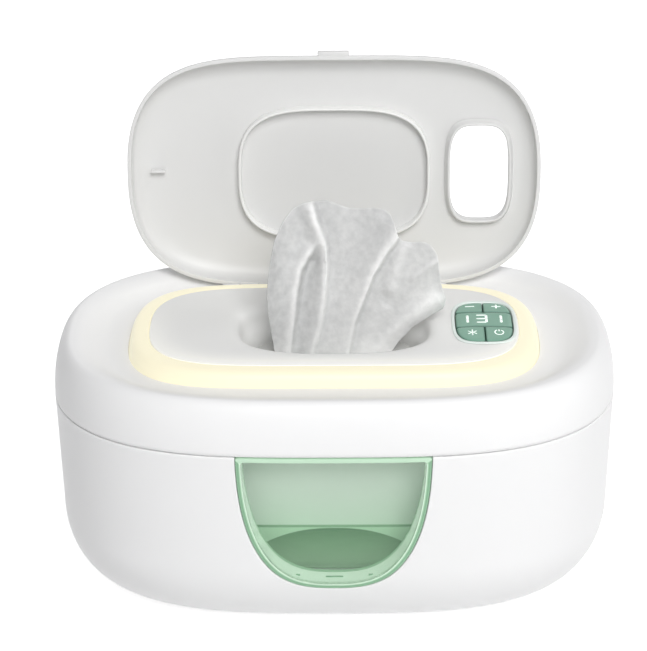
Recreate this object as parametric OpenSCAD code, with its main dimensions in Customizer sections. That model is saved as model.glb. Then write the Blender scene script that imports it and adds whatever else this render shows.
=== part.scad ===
// Warmer for baby wipes: a tub with a heated bin, a hinged cover with a light ring and keys, and a flip lid.
// The frame: X to the right, Y to the back, Z up. The origin lies on the plane that the feet stand on, under
// the middle of the whole outline, with the barrels of the rear hinge.

/* [Body] */
// Width at the parting line
body_w = 250; // [220:1:280]
// Depth at the parting line
body_d = 173; // [155:1:195]
// Power of the plan curve across the width
plan_px = 3.2; // [2.4:0.1:4]
// Power of the plan curve across the depth
plan_py = 2.4; // [2:0.1:3]
// Height of the parting line
seam_z = 89.3; // [80:0.1:100]
// Open joint between tub and cover
seam_gap = 0.6; // [0.4:0.1:1]
// Wall of the housings
wall = 2.6; // [2:0.1:3.2]

/* [Tub] */
// Height of the feet
foot_h = 1.5; // [1:0.1:3]
// Height where the rounded bottom ends
curve_h = 36; // [28:1:44]
// How far the rounded bottom runs in
curve_in = 30; // [22:1:34]
// Draft of the tub wall at the top of the rounded bottom
tub_draft = 2; // [1:0.1:3]
// Width of the flange round the bottom opening
flange_w = 12; // [10:1:16]
// Thickness of the bottom plate
plate_t = 2.5; // [2:0.1:3]

/* [Cover] */
// Height of the rounded shoulder above the parting line
shoulder_h = 23.3; // [20:0.1:28]
// How far the shoulder runs in at its top
shoulder_in = 7.6; // [5:0.1:10]
// How far the crest lies inside the parting line
crest_in = 14.6; // [13:0.1:17]
// Drop from the shoulder's top to the crest's inner edge
crest_drop = 2.3; // [1.5:0.1:3]
// Drop from the shoulder's top to the floor of the recess
recess_drop = 6.3; // [5.5:0.1:7]

/* [Deck and light ring] */
// Width of the recess beside the light ring
recess_side = 19; // [17:0.1:21]
// Depth of the recess in front of the light ring and behind it
recess_front = 19; // [16:0.1:20]
// Power of the deck and ring curve across the width
ring_px = 5; // [4:0.1:6]
// Power of the deck and ring curve across the depth
ring_py = 2.75; // [2.5:0.05:3.4]
// How far the light ring slopes out below the deck
ring_run = 8.8; // [7:0.1:10]
// Height of the light ring above the floor of the recess
ring_h = 6.8; // [5.5:0.1:8]
// Width of the deck between the dispensing opening and the keypad
deck_between = 12; // [10:0.1:15]
// Depth of the deck in front of the dispensing opening
deck_front = 17.1; // [16:0.1:20]
// Depth of the throat below the deck
throat_h = 15; // [13:0.1:16]
// Share of the opening's width that the slot in the soft insert takes
slot_share = 0.55; // [0.5:0.01:0.65]
// Width of the slot in the soft insert
slot_d = 8; // [7:1:12]

/* [Keypad] */
// Distance of the keypad's middle from the right end of the deck
pad_side = 15.7; // [15.4:0.1:18]
// Width of the keypad
pad_w = 26.2; // [24:0.1:27]
// Length of the keypad
pad_d = 44.2; // [40:0.1:46]
// Power of the keypad's outline
pad_p = 3.8; // [3:0.1:5]
// How far the keypad stands above the deck
pad_rise = 1.3; // [1.1:0.1:2.2]
// Length of the row with the two front keys
front_row = 15.9; // [13:0.1:17]
// Length of the row with the two back keys
back_row = 12.2; // [10:0.1:14]
// Gap round each key
key_gap = 0.4; // [0.3:0.05:0.6]
// Travel of the keys
key_travel = 0.8; // [0.5:0.1:1]

/* [Lid] */
// How far the lid reaches past the deck at its ends
lid_over_x = 12.5; // [11.5:0.1:14]
// How far the lid reaches past the deck at its front and back
lid_over_y = 11; // [10.8:0.1:12]
// Power of the lid curve across the width
lid_px = 4.5; // [4:0.1:5]
// Power of the lid curve across the depth
lid_py = 2.5; // [2.3:0.1:3]
// Height of the lid above its rim
lid_h = 11; // [10.4:0.1:13]
// Wall of the lid
lid_wall = 1.8; // [1.6:0.1:2.4]
// Angle of the open lid from closed
lid_open = 94; // [80:1:96]
// How far the seal rib stands outside the opening at its ends
rib_side = 2.4; // [1.6:0.1:4]
// How far the seal rib stands outside the opening at its front and back
rib_front = 4.5; // [3:0.1:6]

/* [Window] */
// Width of the front window at its widest
window_w = 84.2; // [70:0.1:96]
// Height of the bottom of the window
window_z = 25; // [20:0.1:34]
// Power of the window's outline
window_p = 2.7; // [2.2:0.1:3.2]
// Thickness of the window
window_t = 2.2; // [1.8:0.1:2.6]

/* [Bin] */
// Distance of the bin's ends from the housing at the parting line
bin_side = 20; // [18:0.5:26]
// Distance of the bin's front and back from the housing, if the bin were in the middle
bin_end = 21.5; // [21:0.5:26]
// How far the bin sits towards the front
bin_front = 5; // [3:0.5:6]
// Height of the bin's underside
bin_z = 15.2; // [14:0.1:18]
// Wall of the bin
bin_wall = 2; // [1.6:0.1:2.4]

/* [Hinges] */
// Radius of the cover hinge's barrels
barrel_r = 3.6; // [3.2:0.1:4.2]
// Radius of the cover hinge's pin
pin_r = 1.25; // [1:0.05:1.5]
// Length of the cover hinge
hinge_w = 90; // [70:1:100]
// Radius of the lid hinge's barrels
lid_barrel_r = 2.4; // [2.2:0.1:2.5]
// Radius of the lid hinge's pins
lid_pin_r = 0.9; // [0.7:0.05:1.1]
// Distance of each lid hinge from the middle
lid_hinge_x = 40; // [30:1:44]

/* [Wipe] */
// Width of the wipe where it fans out
wipe_w = 78; // [60:1:84]
// Thickness of the gathered wipe
wipe_t = 18; // [12:1:22]
// Height of the wipe above the deck
wipe_h = 60; // [40:1:70]

/* [Hidden] */

// Facets round the large curved shells, round the smaller plates, and round turned parts
big_n = 56;
mid_n = 40;
turn_n = 48;
// Free play where two pieces fit, where a pin turns, and where a pin or screw is held
fit = 0.3;
turn_play = 0.05;
hold_play = 0.02;

// Heights that follow from the driving sizes
tub_rim_z = seam_z - seam_gap / 2;
cover_rim_z = seam_z + seam_gap / 2;
shoulder_z = seam_z + shoulder_h + seam_gap / 2;
crest_z = shoulder_z - crest_drop;
recess_z = shoulder_z - recess_drop;
deck_z = recess_z + ring_h;
ring_seat_z = recess_z - 2.8;
shelf_z = deck_z - 4;
throat_z = deck_z - throat_h;
insert_t = 1.5;
insert_z = throat_z - insert_t;
liner_z = cover_rim_z + 0.6;
liner_t = 2;
liner_top = liner_z + liner_t;
ledge_z = tub_rim_z - 5;
bin_flange_t = 2;
bin_bead = 2;
bin_top = ledge_z + bin_flange_t + bin_bead;

// Half sizes of the deck, the opening, the ring, the lid, its rib and the bin
deck_a = body_w / 2 - crest_in - recess_side - ring_run;
deck_b = body_d / 2 - crest_in - recess_front - ring_run;
pad_x = deck_a - pad_side;
mouth_a = pad_x - pad_w / 2 - deck_between;
mouth_b = deck_b - deck_front;
slot_w = 2 * mouth_a * slot_share;
ring_a = deck_a + ring_run;
ring_b = deck_b + ring_run;
lid_a = deck_a + lid_over_x;
lid_b = deck_b + lid_over_y;
rib_a = mouth_a + rib_side;
rib_b = mouth_b + rib_front;
bin_a = body_w / 2 - bin_side;
bin_b = body_d / 2 - bin_end;
lid_rim_z = recess_z + 3;
lid_top = lid_rim_z + lid_h;
lid_inner = lid_top - lid_wall - 0.4;

// Hinge axes
hinge_y = body_d / 2 + barrel_r + 0.4;
hinge_z = seam_z;
lid_hinge_y = lid_b + 0.5;
lid_hinge_z = lid_rim_z - 2;

// Everything is drawn round the middle of the body and then moved, so that the outline's middle is at Y 0
middle_y = (hinge_y + barrel_r - body_d / 2) / 2;
module placed() {
    translate([0, -middle_y, 0])
        children();
}

// Keypad places: two grooves across it, and its centre a little to the back
pad_y = 2;
pad_top = deck_z + pad_rise;
groove_back = pad_y + pad_d / 2 - back_row;
groove_front = pad_y - pad_d / 2 + front_row;
bezel_out = 2.2;
bezel_t = 0.6;
board_t = 1.6;
control_z = deck_z - 8.4;
control_top = control_z + board_t;

// A signed power, which the plan curves use
function spow(v, k) = v == 0 ? 0 : sign(v) * pow(abs(v), k);

// A closed plan curve |x/a|^p + |y/b|^q = 1 with n points
function oval(a, b, p, q, n) =
    [for (i = [0:n - 1]) let (t = 360 * i / n) [a * spow(cos(t), 2 / p), b * spow(sin(t), 2 / q)]];

// A ring of a loft: half width, half depth, the two powers, height, and shift across and back
function ring_at(r, n) =
    [for (p = oval(r[0], r[1], r[2], r[3], n)) [p[0] + r[5], p[1] + r[6], r[4]]];

// Rings of the housing, the deck and light ring, and the bin, each inset by e at height z
function body_ring(e, z) = [body_w / 2 - e, body_d / 2 - e, plan_px, plan_py, z, 0, 0];
function deck_ring(e, z) = [deck_a - e, deck_b - e, ring_px, ring_py, z, 0, 0];
function lid_ring(e, z) = [lid_a - e, lid_b - e, lid_px, lid_py, z, 0, 0];
function bin_ring(e, z, s = 0) = [bin_a - e, bin_b - e, 3.6, 3, z, 0, -bin_front - s];
function mouth_ring(e, z) = [mouth_a + e, mouth_b + e, 2.6, 2.6, z, 0, 0];

// A ring part of the way, m, from the crest to the light ring's seat
function recess_ring(m, z) =
    let (c = body_ring(crest_in, z), r = deck_ring(-ring_run - fit, z))
    [for (i = [0:6]) c[i] + (r[i] - c[i]) * m];

// The skin through a list of rings, closed into a tube when the last ring meets the first
module loft(rings, n, closed = false) {
    m = len(rings);
    points = [for (r = rings) each ring_at(r, n)];
    last = closed ? m - 1 : m - 2;
    sides = [for (k = [0:last]) for (i = [0:n - 1])
        let (k2 = (k + 1) % m, j = (i + 1) % n)
        each [[k * n + i, k2 * n + i, k2 * n + j], [k * n + i, k2 * n + j, k * n + j]]];
    caps = closed ? [] : [[for (i = [0:n - 1]) i], [for (i = [n - 1:-1:0]) (m - 1) * n + i]];
    polyhedron(points = points, faces = concat(sides, caps));
}

// A flat plate with a plan curve, from height z up by t
module plate(r, z, t, n) {
    translate([r[5], r[6], z])
        linear_extrude(height = t)
            polygon(oval(r[0], r[1], r[2], r[3], n));
}

// A flat ring between two plan curves
module plate_ring(outer, inner, z, t, n) {
    difference() {
        plate(outer, z, t, n);
        plate(inner, z - 1, t + 2, n);
    }
}

// How far the tub's skin lies inside the parting line at height z
curve_top = curve_h - foot_h;
function tub_in(z) = z >= curve_h
    ? tub_draft * (tub_rim_z - z) / (tub_rim_z - curve_h)
    : let (s = 1 - max(z - foot_h, 0) / curve_top)
      tub_draft + (curve_in - tub_draft) * (1 - sqrt(1 - s * s));

// Heights down the rounded bottom at equal angles, k steps out of n
function curve_z(k, n) = foot_h + curve_top * (1 - sin(90 * k / n));

// Outer and inner skin of the tub: an upright wall that rolls into a flat flange round the bottom opening
module base_body() {
    mouth_e = curve_in + flange_w;
    seat_e = curve_in + 2;
    flange_z = foot_h + plate_t;
    outer = [for (k = [6:-1:0]) body_ring(tub_in(curve_z(k, 6)), curve_z(k, 6))];
    inner = [for (k = [0:4]) let (z = curve_z(k, 5)) body_ring(tub_in(z) + wall + 1.2, z + 1.2 * k / 4)];
    loft(concat(
        outer,
        [body_ring(0, tub_rim_z), body_ring(wall, tub_rim_z), body_ring(wall, ledge_z),
         body_ring(wall + 1.2, ledge_z)],
        inner,
        [body_ring(mouth_e, flange_z + wall), body_ring(mouth_e, flange_z),
         body_ring(seat_e, flange_z), body_ring(seat_e, foot_h)]), big_n, true);
}

// Outline of the front window, drawn in by e, up to height top
window_mid = seam_z + 9.7;
function window_outline(e, top, n = 28) =
    let (a = window_w / 2 - e, b = window_mid - window_z - e,
         t0 = asin(pow((window_mid - top) / b, window_p / 2)))
    [for (i = [0:n]) let (t = t0 + (180 - 2 * t0) * i / n)
        [-a * spow(cos(t), 2 / window_p), window_mid - b * pow(sin(t), 2 / window_p)]];

// A prism with the window's outline, from y_back forward past the tub's skin
module window_prism(e, top, y_back) {
    translate([0, y_back, 0])
        rotate([90, 0, 0])
            linear_extrude(height = body_d / 2 + 5 + y_back)
                polygon(window_outline(e, top));
}

// The tub's front skin over the window, drawn in by e, as a slab back to y_back
bin_face = -bin_front - bin_b;
window_back = bin_face - 2;
gasket_back = bin_face - 0.15;
module front_slab(e, y_back) {
    cols = 12;
    rows = 8;
    reach = window_w / 2 + 3;
    low = window_z - 2;
    function skin_y(x, z) =
        let (a = body_w / 2 - tub_in(z) - e, b = body_d / 2 - tub_in(z) - e)
        -b * pow(1 - pow(abs(x) / a, plan_px), 1 / plan_py);
    function spot(i, j) = [reach * (2 * i / cols - 1), low + (tub_rim_z + 1 - low) * j / rows];
    front = [for (j = [0:rows]) for (i = [0:cols])
        let (s = spot(i, j)) [s[0], skin_y(s[0], min(s[1], tub_rim_z)), s[1]]];
    c = cols + 1;
    count = c * (rows + 1);
    back = [[-reach, y_back, low], [reach, y_back, low], [reach, y_back, tub_rim_z + 1],
            [-reach, y_back, tub_rim_z + 1]];
    skin = [for (j = [0:rows - 1]) for (i = [0:cols - 1])
        let (p = j * c + i)
        each [[p, p + c, p + c + 1], [p, p + c + 1, p + 1]]];
    edges = [
        concat([for (i = [0:cols]) i], [count + 1, count]),
        concat([for (i = [cols:-1:0]) rows * c + i], [count + 3, count + 2]),
        concat([for (j = [rows:-1:0]) j * c], [count, count + 3]),
        concat([for (j = [0:rows]) j * c + cols], [count + 2, count + 1]),
        [count, count + 1, count + 2, count + 3]];
    polyhedron(points = concat(front, back), faces = concat(skin, edges));
}

// Places of the screws and feet under the tub, on its flange
screw_x = (body_w / 2 - curve_in) * 0.65;
screw_y = (body_d / 2 - curve_in) * 0.78;
foot_x = (body_w / 2 - curve_in) * 0.785;
foot_y = (body_d / 2 - curve_in) * 0.53;
boss_r = 3.4;
screw_r = 1.25;
boss_h = 6;

// Barrels of the cover hinge: the tub holds the first, third and fifth, the cover the two between
leaf = hinge_w / 5;
leaf_gap = 0.4;
module hinge_leaf(i, web) {
    x0 = -hinge_w / 2 + i * leaf + leaf_gap / 2;
    translate([x0, 0, 0])
        rotate([90, 0, 90])
            linear_extrude(height = leaf - leaf_gap) {
                translate([hinge_y, hinge_z])
                    circle(r = barrel_r, $fn = turn_n);
                polygon(web);
            }
}
web_y = body_d / 2 - 2.3;
web_h = 9;

module base_shell() {
    web = [[web_y, tub_rim_z], [web_y, tub_rim_z - web_h], [web_y + 2, tub_rim_z - web_h],
           [hinge_y + 2.7, hinge_z - 2.3], [hinge_y, tub_rim_z]];
    color("#f3f3f1") placed()
    difference() {
        union() {
            difference() {
                base_body();
                window_prism(0, tub_rim_z + 3, bin_face + 8);
            }
            for (i = [0, 2, 4])
                hinge_leaf(i, web);
            for (sx = [-1, 1])
                for (sy = [-1, 1])
                    translate([sx * screw_x, sy * screw_y, foot_h + plate_t])
                        cylinder(r = boss_r, h = boss_h, $fn = turn_n);
            board_guides();
        }
        translate([-hinge_w / 2 - 1, hinge_y, hinge_z])
            rotate([0, 90, 0])
                cylinder(r = pin_r + hold_play, h = hinge_w + 2, $fn = turn_n);
        for (sx = [-1, 1])
            for (sy = [-1, 1])
                translate([sx * screw_x, sy * screw_y, foot_h])
                    cylinder(r = screw_r + hold_play, h = plate_t + boss_h + 1, $fn = turn_n);
        translate([jack_x, jack_y - 1, jack_z])
            rotate([-90, 0, 0])
                cylinder(r = jack_r + fit, h = 30, $fn = turn_n);
    }
}

module base_plate() {
    color("#ececea") placed()
    difference() {
        union() {
            plate(body_ring(curve_in + 2 + fit, 0), foot_h, plate_t, mid_n + 16);
            for (sx = [-1, 1])
                for (sy = [-1, 1])
                    translate([sx * pad_post_x, sy * pad_post_y, foot_h + plate_t - 0.5])
                        cylinder(r = 4, h = pad_z - foot_h - plate_t + 0.5, $fn = turn_n);
        }
        for (sx = [-1, 1])
            for (sy = [-1, 1]) {
                translate([sx * screw_x, sy * screw_y, foot_h - 1])
                    cylinder(r = screw_r + 0.3, h = plate_t + 2, $fn = turn_n);
                translate([sx * screw_x, sy * screw_y, foot_h - 1])
                    cylinder(r = 3.1, h = 2, $fn = turn_n);
                translate([sx * foot_x, sy * foot_y, foot_h - 1])
                    cylinder(r = foot_r + 0.2, h = 1.8, $fn = turn_n);
            }
    }
}

foot_r = 6;
module rubber_feet() {
    color("#d8d8d6") placed()
    for (sx = [-1, 1])
        for (sy = [-1, 1])
            translate([sx * foot_x, sy * foot_y, 0])
                rotate_extrude($fn = turn_n)
                    polygon([[0, 0], [foot_r - 0.6, 0], [foot_r, 0.6], [foot_r, foot_h + 0.8],
                             [0, foot_h + 0.8]]);
}

module base_screws() {
    color("#b9bcc0") placed()
    for (sx = [-1, 1])
        for (sy = [-1, 1])
            translate([sx * screw_x, sy * screw_y, foot_h + 0.1])
                difference() {
                    union() {
                        cylinder(r = 2.8, h = 0.9, $fn = turn_n);
                        cylinder(r = screw_r, h = plate_t + boss_h - 1, $fn = turn_n);
                    }
                    translate([-1.6, -0.35, -1])
                        cube([3.2, 0.7, 1.5]);
                    translate([-0.35, -1.6, -1])
                        cube([0.7, 3.2, 1.5]);
                }
}

// A clear moulding: a pane flush with the tub's front and a rim that runs back into the bin
module window_lens() {
    color("#8fc0a0", 0.5) placed()
    difference() {
        intersection() {
            front_slab(0.2, window_back);
            window_prism(fit - 0.05, tub_rim_z, window_back - 1);
        }
        intersection() {
            front_slab(window_t + 0.2, window_back + 5);
            window_prism(window_t, tub_rim_z - window_t, window_back + 1);
        }
    }
}

module window_gasket() {
    color("#dfe7e1") placed()
    difference() {
        translate([0, gasket_back, 0])
            rotate([90, 0, 0])
                linear_extrude(height = gasket_back - window_back)
                    polygon(window_outline(fit, tub_rim_z - 0.4));
        translate([0, gasket_back + 1, 0])
            rotate([90, 0, 0])
                linear_extrude(height = gasket_back - window_back + 2)
                    polygon(window_outline(window_t + 0.2, tub_rim_z - window_t - 0.2));
    }
}

// The bin: a smooth tub with a wide flange that rests on the housing's ledge, open to the window in front
module wipe_bin() {
    flange = body_ring(wall + fit, ledge_z);
    flange_up = body_ring(wall + fit, ledge_z + bin_flange_t);
    t = bin_wall;
    lean = 2.6;
    color("#e9eceb") placed()
    difference() {
        loft([bin_ring(9, bin_z, lean), bin_ring(5, bin_z + 1.2, lean), bin_ring(lean, bin_z + 5, lean),
              bin_ring(0, ledge_z), flange, flange_up, bin_ring(-2.4, ledge_z + bin_flange_t),
              bin_ring(-2.4, bin_top), bin_ring(t, bin_top), bin_ring(lean + t, bin_z + 5.4, lean),
              bin_ring(5.6 + t, bin_z + 2.6, lean), bin_ring(9.6 + t, bin_z + t, lean)], big_n);
        window_prism(0.05, ledge_z - 0.6, bin_face + t + 3);
        translate([-window_w / 2 - 0.4, -body_d, tub_rim_z - 12])
            cube([window_w + 0.8, body_d + bin_face, 20]);
    }
}

// The heater: a spreader plate under the bin's floor, a film, a pad, a fuse and a sensor
heat_edge = 30;
film_edge = 5;
heat_w = 2 * (bin_a - heat_edge);
heat_d = 2 * (bin_b - heat_edge);
heat_t = 1.5;
film_t = 0.4;
pad_t = 5;
film_z = bin_z - heat_t - film_t;
pad_z = film_z - pad_t;
pad_post_x = heat_w * 0.387;
pad_post_y = heat_d * 0.343;
cutoff_x = 38;
module heater_plate() {
    color("#c3c7ca") placed()
    translate([0, -bin_front, bin_z - heat_t])
        linear_extrude(height = heat_t)
            polygon(oval(heat_w / 2, heat_d / 2, 6, 5, mid_n));
}
module heater_film() {
    color("#c98a2e") placed()
    translate([0, -bin_front, film_z])
        linear_extrude(height = film_t)
            polygon(oval(heat_w / 2 - film_edge, heat_d / 2 - film_edge, 6, 5, mid_n));
}
module insulation_pad() {
    color("#8d9093") placed()
    difference() {
        translate([0, -bin_front, pad_z])
            linear_extrude(height = pad_t)
                polygon(oval(heat_w / 2, heat_d / 2, 6, 5, mid_n));
        for (s = [-1, 1])
            translate([s * cutoff_x - 7, -bin_front - 5, pad_z + pad_t - 4])
                cube([14, 10, 5]);
    }
}
module thermal_cutoff() {
    color("#3c3f42") placed()
    translate([cutoff_x - 5.5, -bin_front, film_z - 1.8])
        rotate([0, 90, 0])
            cylinder(r = 1.8, h = 11, $fn = turn_n);
}
module thermistor() {
    color("#1f2a38") placed()
    translate([-cutoff_x, -bin_front, film_z - 1.4])
        sphere(r = 1.4, $fn = 32);
}

// The power board stands on edge behind the bin, with the socket at the back
main_x = body_w * 0.048;
main_w = body_w * 0.248;
main_h = tub_rim_z / 3;
main_y = -bin_front + bin_b + 2.5;
main_z = bin_z - 0.2;
jack_x = body_w * 0.24;
jack_z = 23.5;
jack_y = main_y + board_t;
jack_r = 4;
jack_box = 9;
jack_box_d = 7;
jack_bore = 9;
jack_bore_r = 3.2;
module main_board() {
    color("#2c6b4a") placed()
    union() {
        translate([main_x, main_y, main_z])
            cube([main_w, board_t, main_h]);
        translate([main_x + 12, main_y + board_t, main_z + 18])
            rotate([-90, 0, 0])
                cylinder(r = 4, h = 9, $fn = turn_n);
        translate([main_x + 22, main_y + board_t, main_z + 14])
            cube([10, 1.6, 8]);
        translate([main_x + 5, main_y + board_t, main_z + 4])
            cube([12, 6, 5]);
    }
}
module board_guides() {
    for (g = [[main_x + 2, foot_h + 4], [main_x + main_w - 6, main_z - 4]])
        difference() {
            translate([g[0], main_y - 2.2, g[1]])
                cube([4, board_t + 4.4, main_z + 4 - g[1]]);
            translate([g[0] - 1, main_y - 0.15, main_z])
                cube([6, board_t + 0.3, 10]);
        }
}
module dc_jack() {
    color("#26282a") placed()
    difference() {
        union() {
            translate([jack_x - jack_box / 2, jack_y, jack_z - jack_box / 2])
                cube([jack_box, jack_box_d, jack_box]);
            translate([jack_x, jack_y + 1, jack_z])
                rotate([-90, 0, 0])
                    cylinder(r = jack_r, h = jack_reach - 1, $fn = turn_n);
        }
        translate([jack_x, jack_y + jack_reach - jack_bore, jack_z])
            rotate([-90, 0, 0])
                cylinder(r = jack_bore_r, h = jack_bore + 1, $fn = turn_n);
    }
}
// The tub's skin at the socket, which the socket's mouth stays just inside
jack_skin = let (a = body_w / 2 - tub_in(jack_z), b = body_d / 2 - tub_in(jack_z))
    b * pow(1 - pow(jack_x / a, plan_px), 1 / plan_py);
jack_reach = jack_skin - 1.8 - jack_y;

module cover_hinge_pin() {
    color("#c9ccd0") placed()
    translate([-hinge_w / 2 - 0.5, hinge_y, hinge_z])
        rotate([0, 90, 0])
            cylinder(r = pin_r, h = hinge_w + 1, $fn = turn_n);
}

// A refill of folded wipes in its wrap, which stands in the bin
pack_a = bin_a - bin_wall - 10;
pack_b = bin_b - bin_wall - 9;
pack_top = bin_top - 10;
module wipe_pack() {
    z0 = bin_z + bin_wall + 0.3;
    color("#bcd6c2") placed()
    loft([[pack_a - 9, pack_b - 9, 4, 4, z0, 0, -bin_front],
          [pack_a - 1.5, pack_b - 1.5, 4, 4, z0 + 6, 0, -bin_front],
          [pack_a, pack_b, 4, 4, z0 + 16, 0, -bin_front],
          [pack_a, pack_b, 4, 4, pack_top - 12, 0, -bin_front],
          [pack_a - 3, pack_b - 3, 4, 4, pack_top - 3, 0, -bin_front],
          [pack_a - 10, pack_b - 10, 4, 4, pack_top, 0, -bin_front]], mid_n);
}

// Height and inset of the cover's shoulder at angle t, from the parting line to its top
function shoulder_e(t) = shoulder_in * (1 - pow(cos(t), 0.94));
function shoulder_up(t) = cover_rim_z + shoulder_h * pow(sin(t), 0.94);

// The cover: a shoulder that rolls over a crest into a recess, with a seat for the light ring
module cover_body() {
    loft(concat(
        [for (k = [0:5]) body_ring(shoulder_e(18 * k), shoulder_up(18 * k))],
        [body_ring(shoulder_in + (crest_in - shoulder_in) * 0.5, shoulder_z - crest_drop * 0.27),
         body_ring(crest_in, crest_z),
         recess_ring(0.22, recess_z + (crest_z - recess_z) * 0.5),
         recess_ring(0.5, recess_z + 0.25),
         recess_ring(1, recess_z),
         recess_ring(1, ring_seat_z),
         deck_ring(-ring_run + 3.6, ring_seat_z),
         deck_ring(-ring_run + 3.6, ring_seat_z - 1.8),
         recess_ring(0.9, ring_seat_z - 1.8),
         recess_ring(0.5, recess_z - 2.2),
         recess_ring(0.14, crest_z - 4.2),
         body_ring(crest_in - 3.5, crest_z - 2.2),
         body_ring(shoulder_in + 2, shoulder_z - 4.4),
         body_ring(wall + 2.2, cover_rim_z + shoulder_h * 0.58),
         body_ring(wall, cover_rim_z)]), big_n, true);
}

// Screw bosses of the cover, which hang from the recess and carry the liner
boss_side_x = ring_a + 3.6;
boss_side_y = 26;
boss_front_y = ring_b + 8.5;
boss_back_y = boss_front_y + 4.5;
cover_boss = [[-boss_side_x, -boss_side_y], [boss_side_x, -boss_side_y], [-boss_side_x, boss_side_y],
              [boss_side_x, boss_side_y], [0, -boss_front_y], [0, boss_back_y]];

// One lid hinge in the recess: a block with a pocket for the lid's lug between two barrels
lug_w = 8;
lug_gap = 0.25;
lid_hinge_w = 24;
module lid_hinge_block() {
    translate([-lid_hinge_w / 2, ring_b + fit + 0.2, recess_z - 5])
        cube([lid_hinge_w, 11, 4.8]);
    translate([-lid_hinge_w / 2, lid_hinge_y, lid_hinge_z])
        rotate([0, 90, 0])
            cylinder(r = lid_barrel_r, h = lid_hinge_w, $fn = turn_n);
}
module lid_hinge_pocket() {
    w = lug_w + 2 * lug_gap;
    translate([-w / 2, lid_hinge_y - lid_barrel_r - 0.6, recess_z - 3.4])
        cube([w, lid_barrel_r + 0.6 + 6, 10]);
    translate([-lid_hinge_w / 2 - 1, lid_hinge_y, lid_hinge_z])
        rotate([0, 90, 0])
            cylinder(r = lid_pin_r + hold_play, h = lid_hinge_w + 2, $fn = turn_n);
}

module upper_shell() {
    web = [[web_y, cover_rim_z], [hinge_y, cover_rim_z], [hinge_y + 2.7, hinge_z + 2.3],
           [web_y + 1.4, cover_rim_z + web_h], [web_y - 0.4, cover_rim_z + web_h]];
    color("#f6f6f4") placed()
    difference() {
        union() {
            cover_body();
            for (i = [1, 3])
                hinge_leaf(i, web);
            for (p = cover_boss)
                translate([p[0], p[1], liner_top])
                    cylinder(r = boss_r, h = recess_z - 0.8 - liner_top, $fn = turn_n);
            for (s = [-1, 1])
                translate([s * lid_hinge_x, 0, 0])
                    lid_hinge_block();
        }
        translate([-hinge_w / 2 - 1, hinge_y, hinge_z])
            rotate([0, 90, 0])
                cylinder(r = pin_r + turn_play, h = hinge_w + 2, $fn = turn_n);
        for (p = cover_boss)
            translate([p[0], p[1], liner_top - 1])
                cylinder(r = screw_r + hold_play, h = 9, $fn = turn_n);
        for (s = [-1, 1])
            translate([s * lid_hinge_x, 0, 0])
                lid_hinge_pocket();
    }
}

// The diffuser: a band that slopes out below the deck, with a shelf inside that carries the deck
module light_ring() {
    color("#fff6cf") placed()
    loft([deck_ring(-ring_run, ring_seat_z), deck_ring(-ring_run, recess_z),
          deck_ring(-ring_run * 0.95, recess_z + ring_h * 0.33),
          deck_ring(-ring_run * 0.86, recess_z + ring_h * 0.63),
          deck_ring(-ring_run * 0.72, recess_z + ring_h * 0.86),
          deck_ring(-ring_run * 0.51, deck_z - 0.3), deck_ring(0, deck_z - 0.1),
          deck_ring(0, shelf_z), deck_ring(2.4, shelf_z), deck_ring(2.4, shelf_z - 1.5),
          deck_ring(-ring_run + 3.6, ring_seat_z + 1.4), deck_ring(-ring_run + 3.2, ring_seat_z)],
         big_n, true);
}

// The deck: flat to the keypad's reach, then it rolls into the mouth and narrows down the throat
module deck_body() {
    skin = 2;
    loft([deck_ring(fit, shelf_z), deck_ring(fit, deck_z - 0.5), deck_ring(fit + 0.5, deck_z),
          mouth_ring(7.4, deck_z), mouth_ring(3.6, deck_z - 0.5), mouth_ring(1.3, deck_z - 1.7),
          mouth_ring(0.1, deck_z - 3.6), mouth_ring(-0.8, deck_z - 6.2), mouth_ring(-5.8, throat_z),
          mouth_ring(-3.8, throat_z), mouth_ring(skin - 0.8, deck_z - 6.4),
          mouth_ring(skin + 0.9, deck_z - 3.9), mouth_ring(7.4, deck_z - skin),
          deck_ring(fit + 2.2, deck_z - skin), deck_ring(fit + 2.2, shelf_z)], big_n, true);
}
module top_deck() {
    color("#eeeeed") placed()
    difference() {
        deck_body();
        pad_plate(bezel_neck, deck_z - 5, 8);
    }
}

// A soft membrane with a rounded slot, clamped between the throat and the liner's collar
module dispensing_insert() {
    color("#d9dad8") placed()
    difference() {
        plate(mouth_ring(-4.2, 0), insert_z, insert_t, mid_n);
        translate([0, 0, insert_z - 1])
            linear_extrude(height = insert_t + 2)
                polygon(oval(slot_w / 2, slot_d / 2, 3, 2.2, 24));
    }
}

// The cover's lower closing plate, with a skirt that laps the parting line and a collar round the mouth
module cover_liner() {
    color("#f0f0ee") placed()
    difference() {
        union() {
            plate(body_ring(wall + 0.8, 0), liner_z, liner_t, big_n);
            plate_ring(body_ring(wall + 0.4, 0), body_ring(wall + 2, 0), tub_rim_z - 2.4,
                       liner_z - tub_rim_z + 2.6, big_n);
            plate(mouth_ring(-4.2, 0), liner_top - 0.5, insert_z - liner_top + 0.5, mid_n);
            for (p = led_posts)
                translate([p[0], p[1], liner_top - 0.5])
                    cylinder(r = 2, h = ring_board_z - liner_top + 0.5, $fn = turn_n);
            for (p = control_posts)
                translate([p[0], p[1], liner_top - 0.5])
                    cylinder(r = 1.8, h = control_z - liner_top + 0.5, $fn = turn_n);
        }
        plate(mouth_ring(-6.2, 0), liner_z - 1, 20, mid_n);
        translate([-window_w / 2 - 0.8, -body_d, tub_rim_z - 4])
            cube([window_w + 1.6, body_d + window_back + 3, liner_z - tub_rim_z + 4]);
        for (p = cover_boss)
            translate([p[0], p[1], liner_z - 1])
                cylinder(r = screw_r + 0.3, h = liner_t + 2, $fn = turn_n);
    }
}

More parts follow.
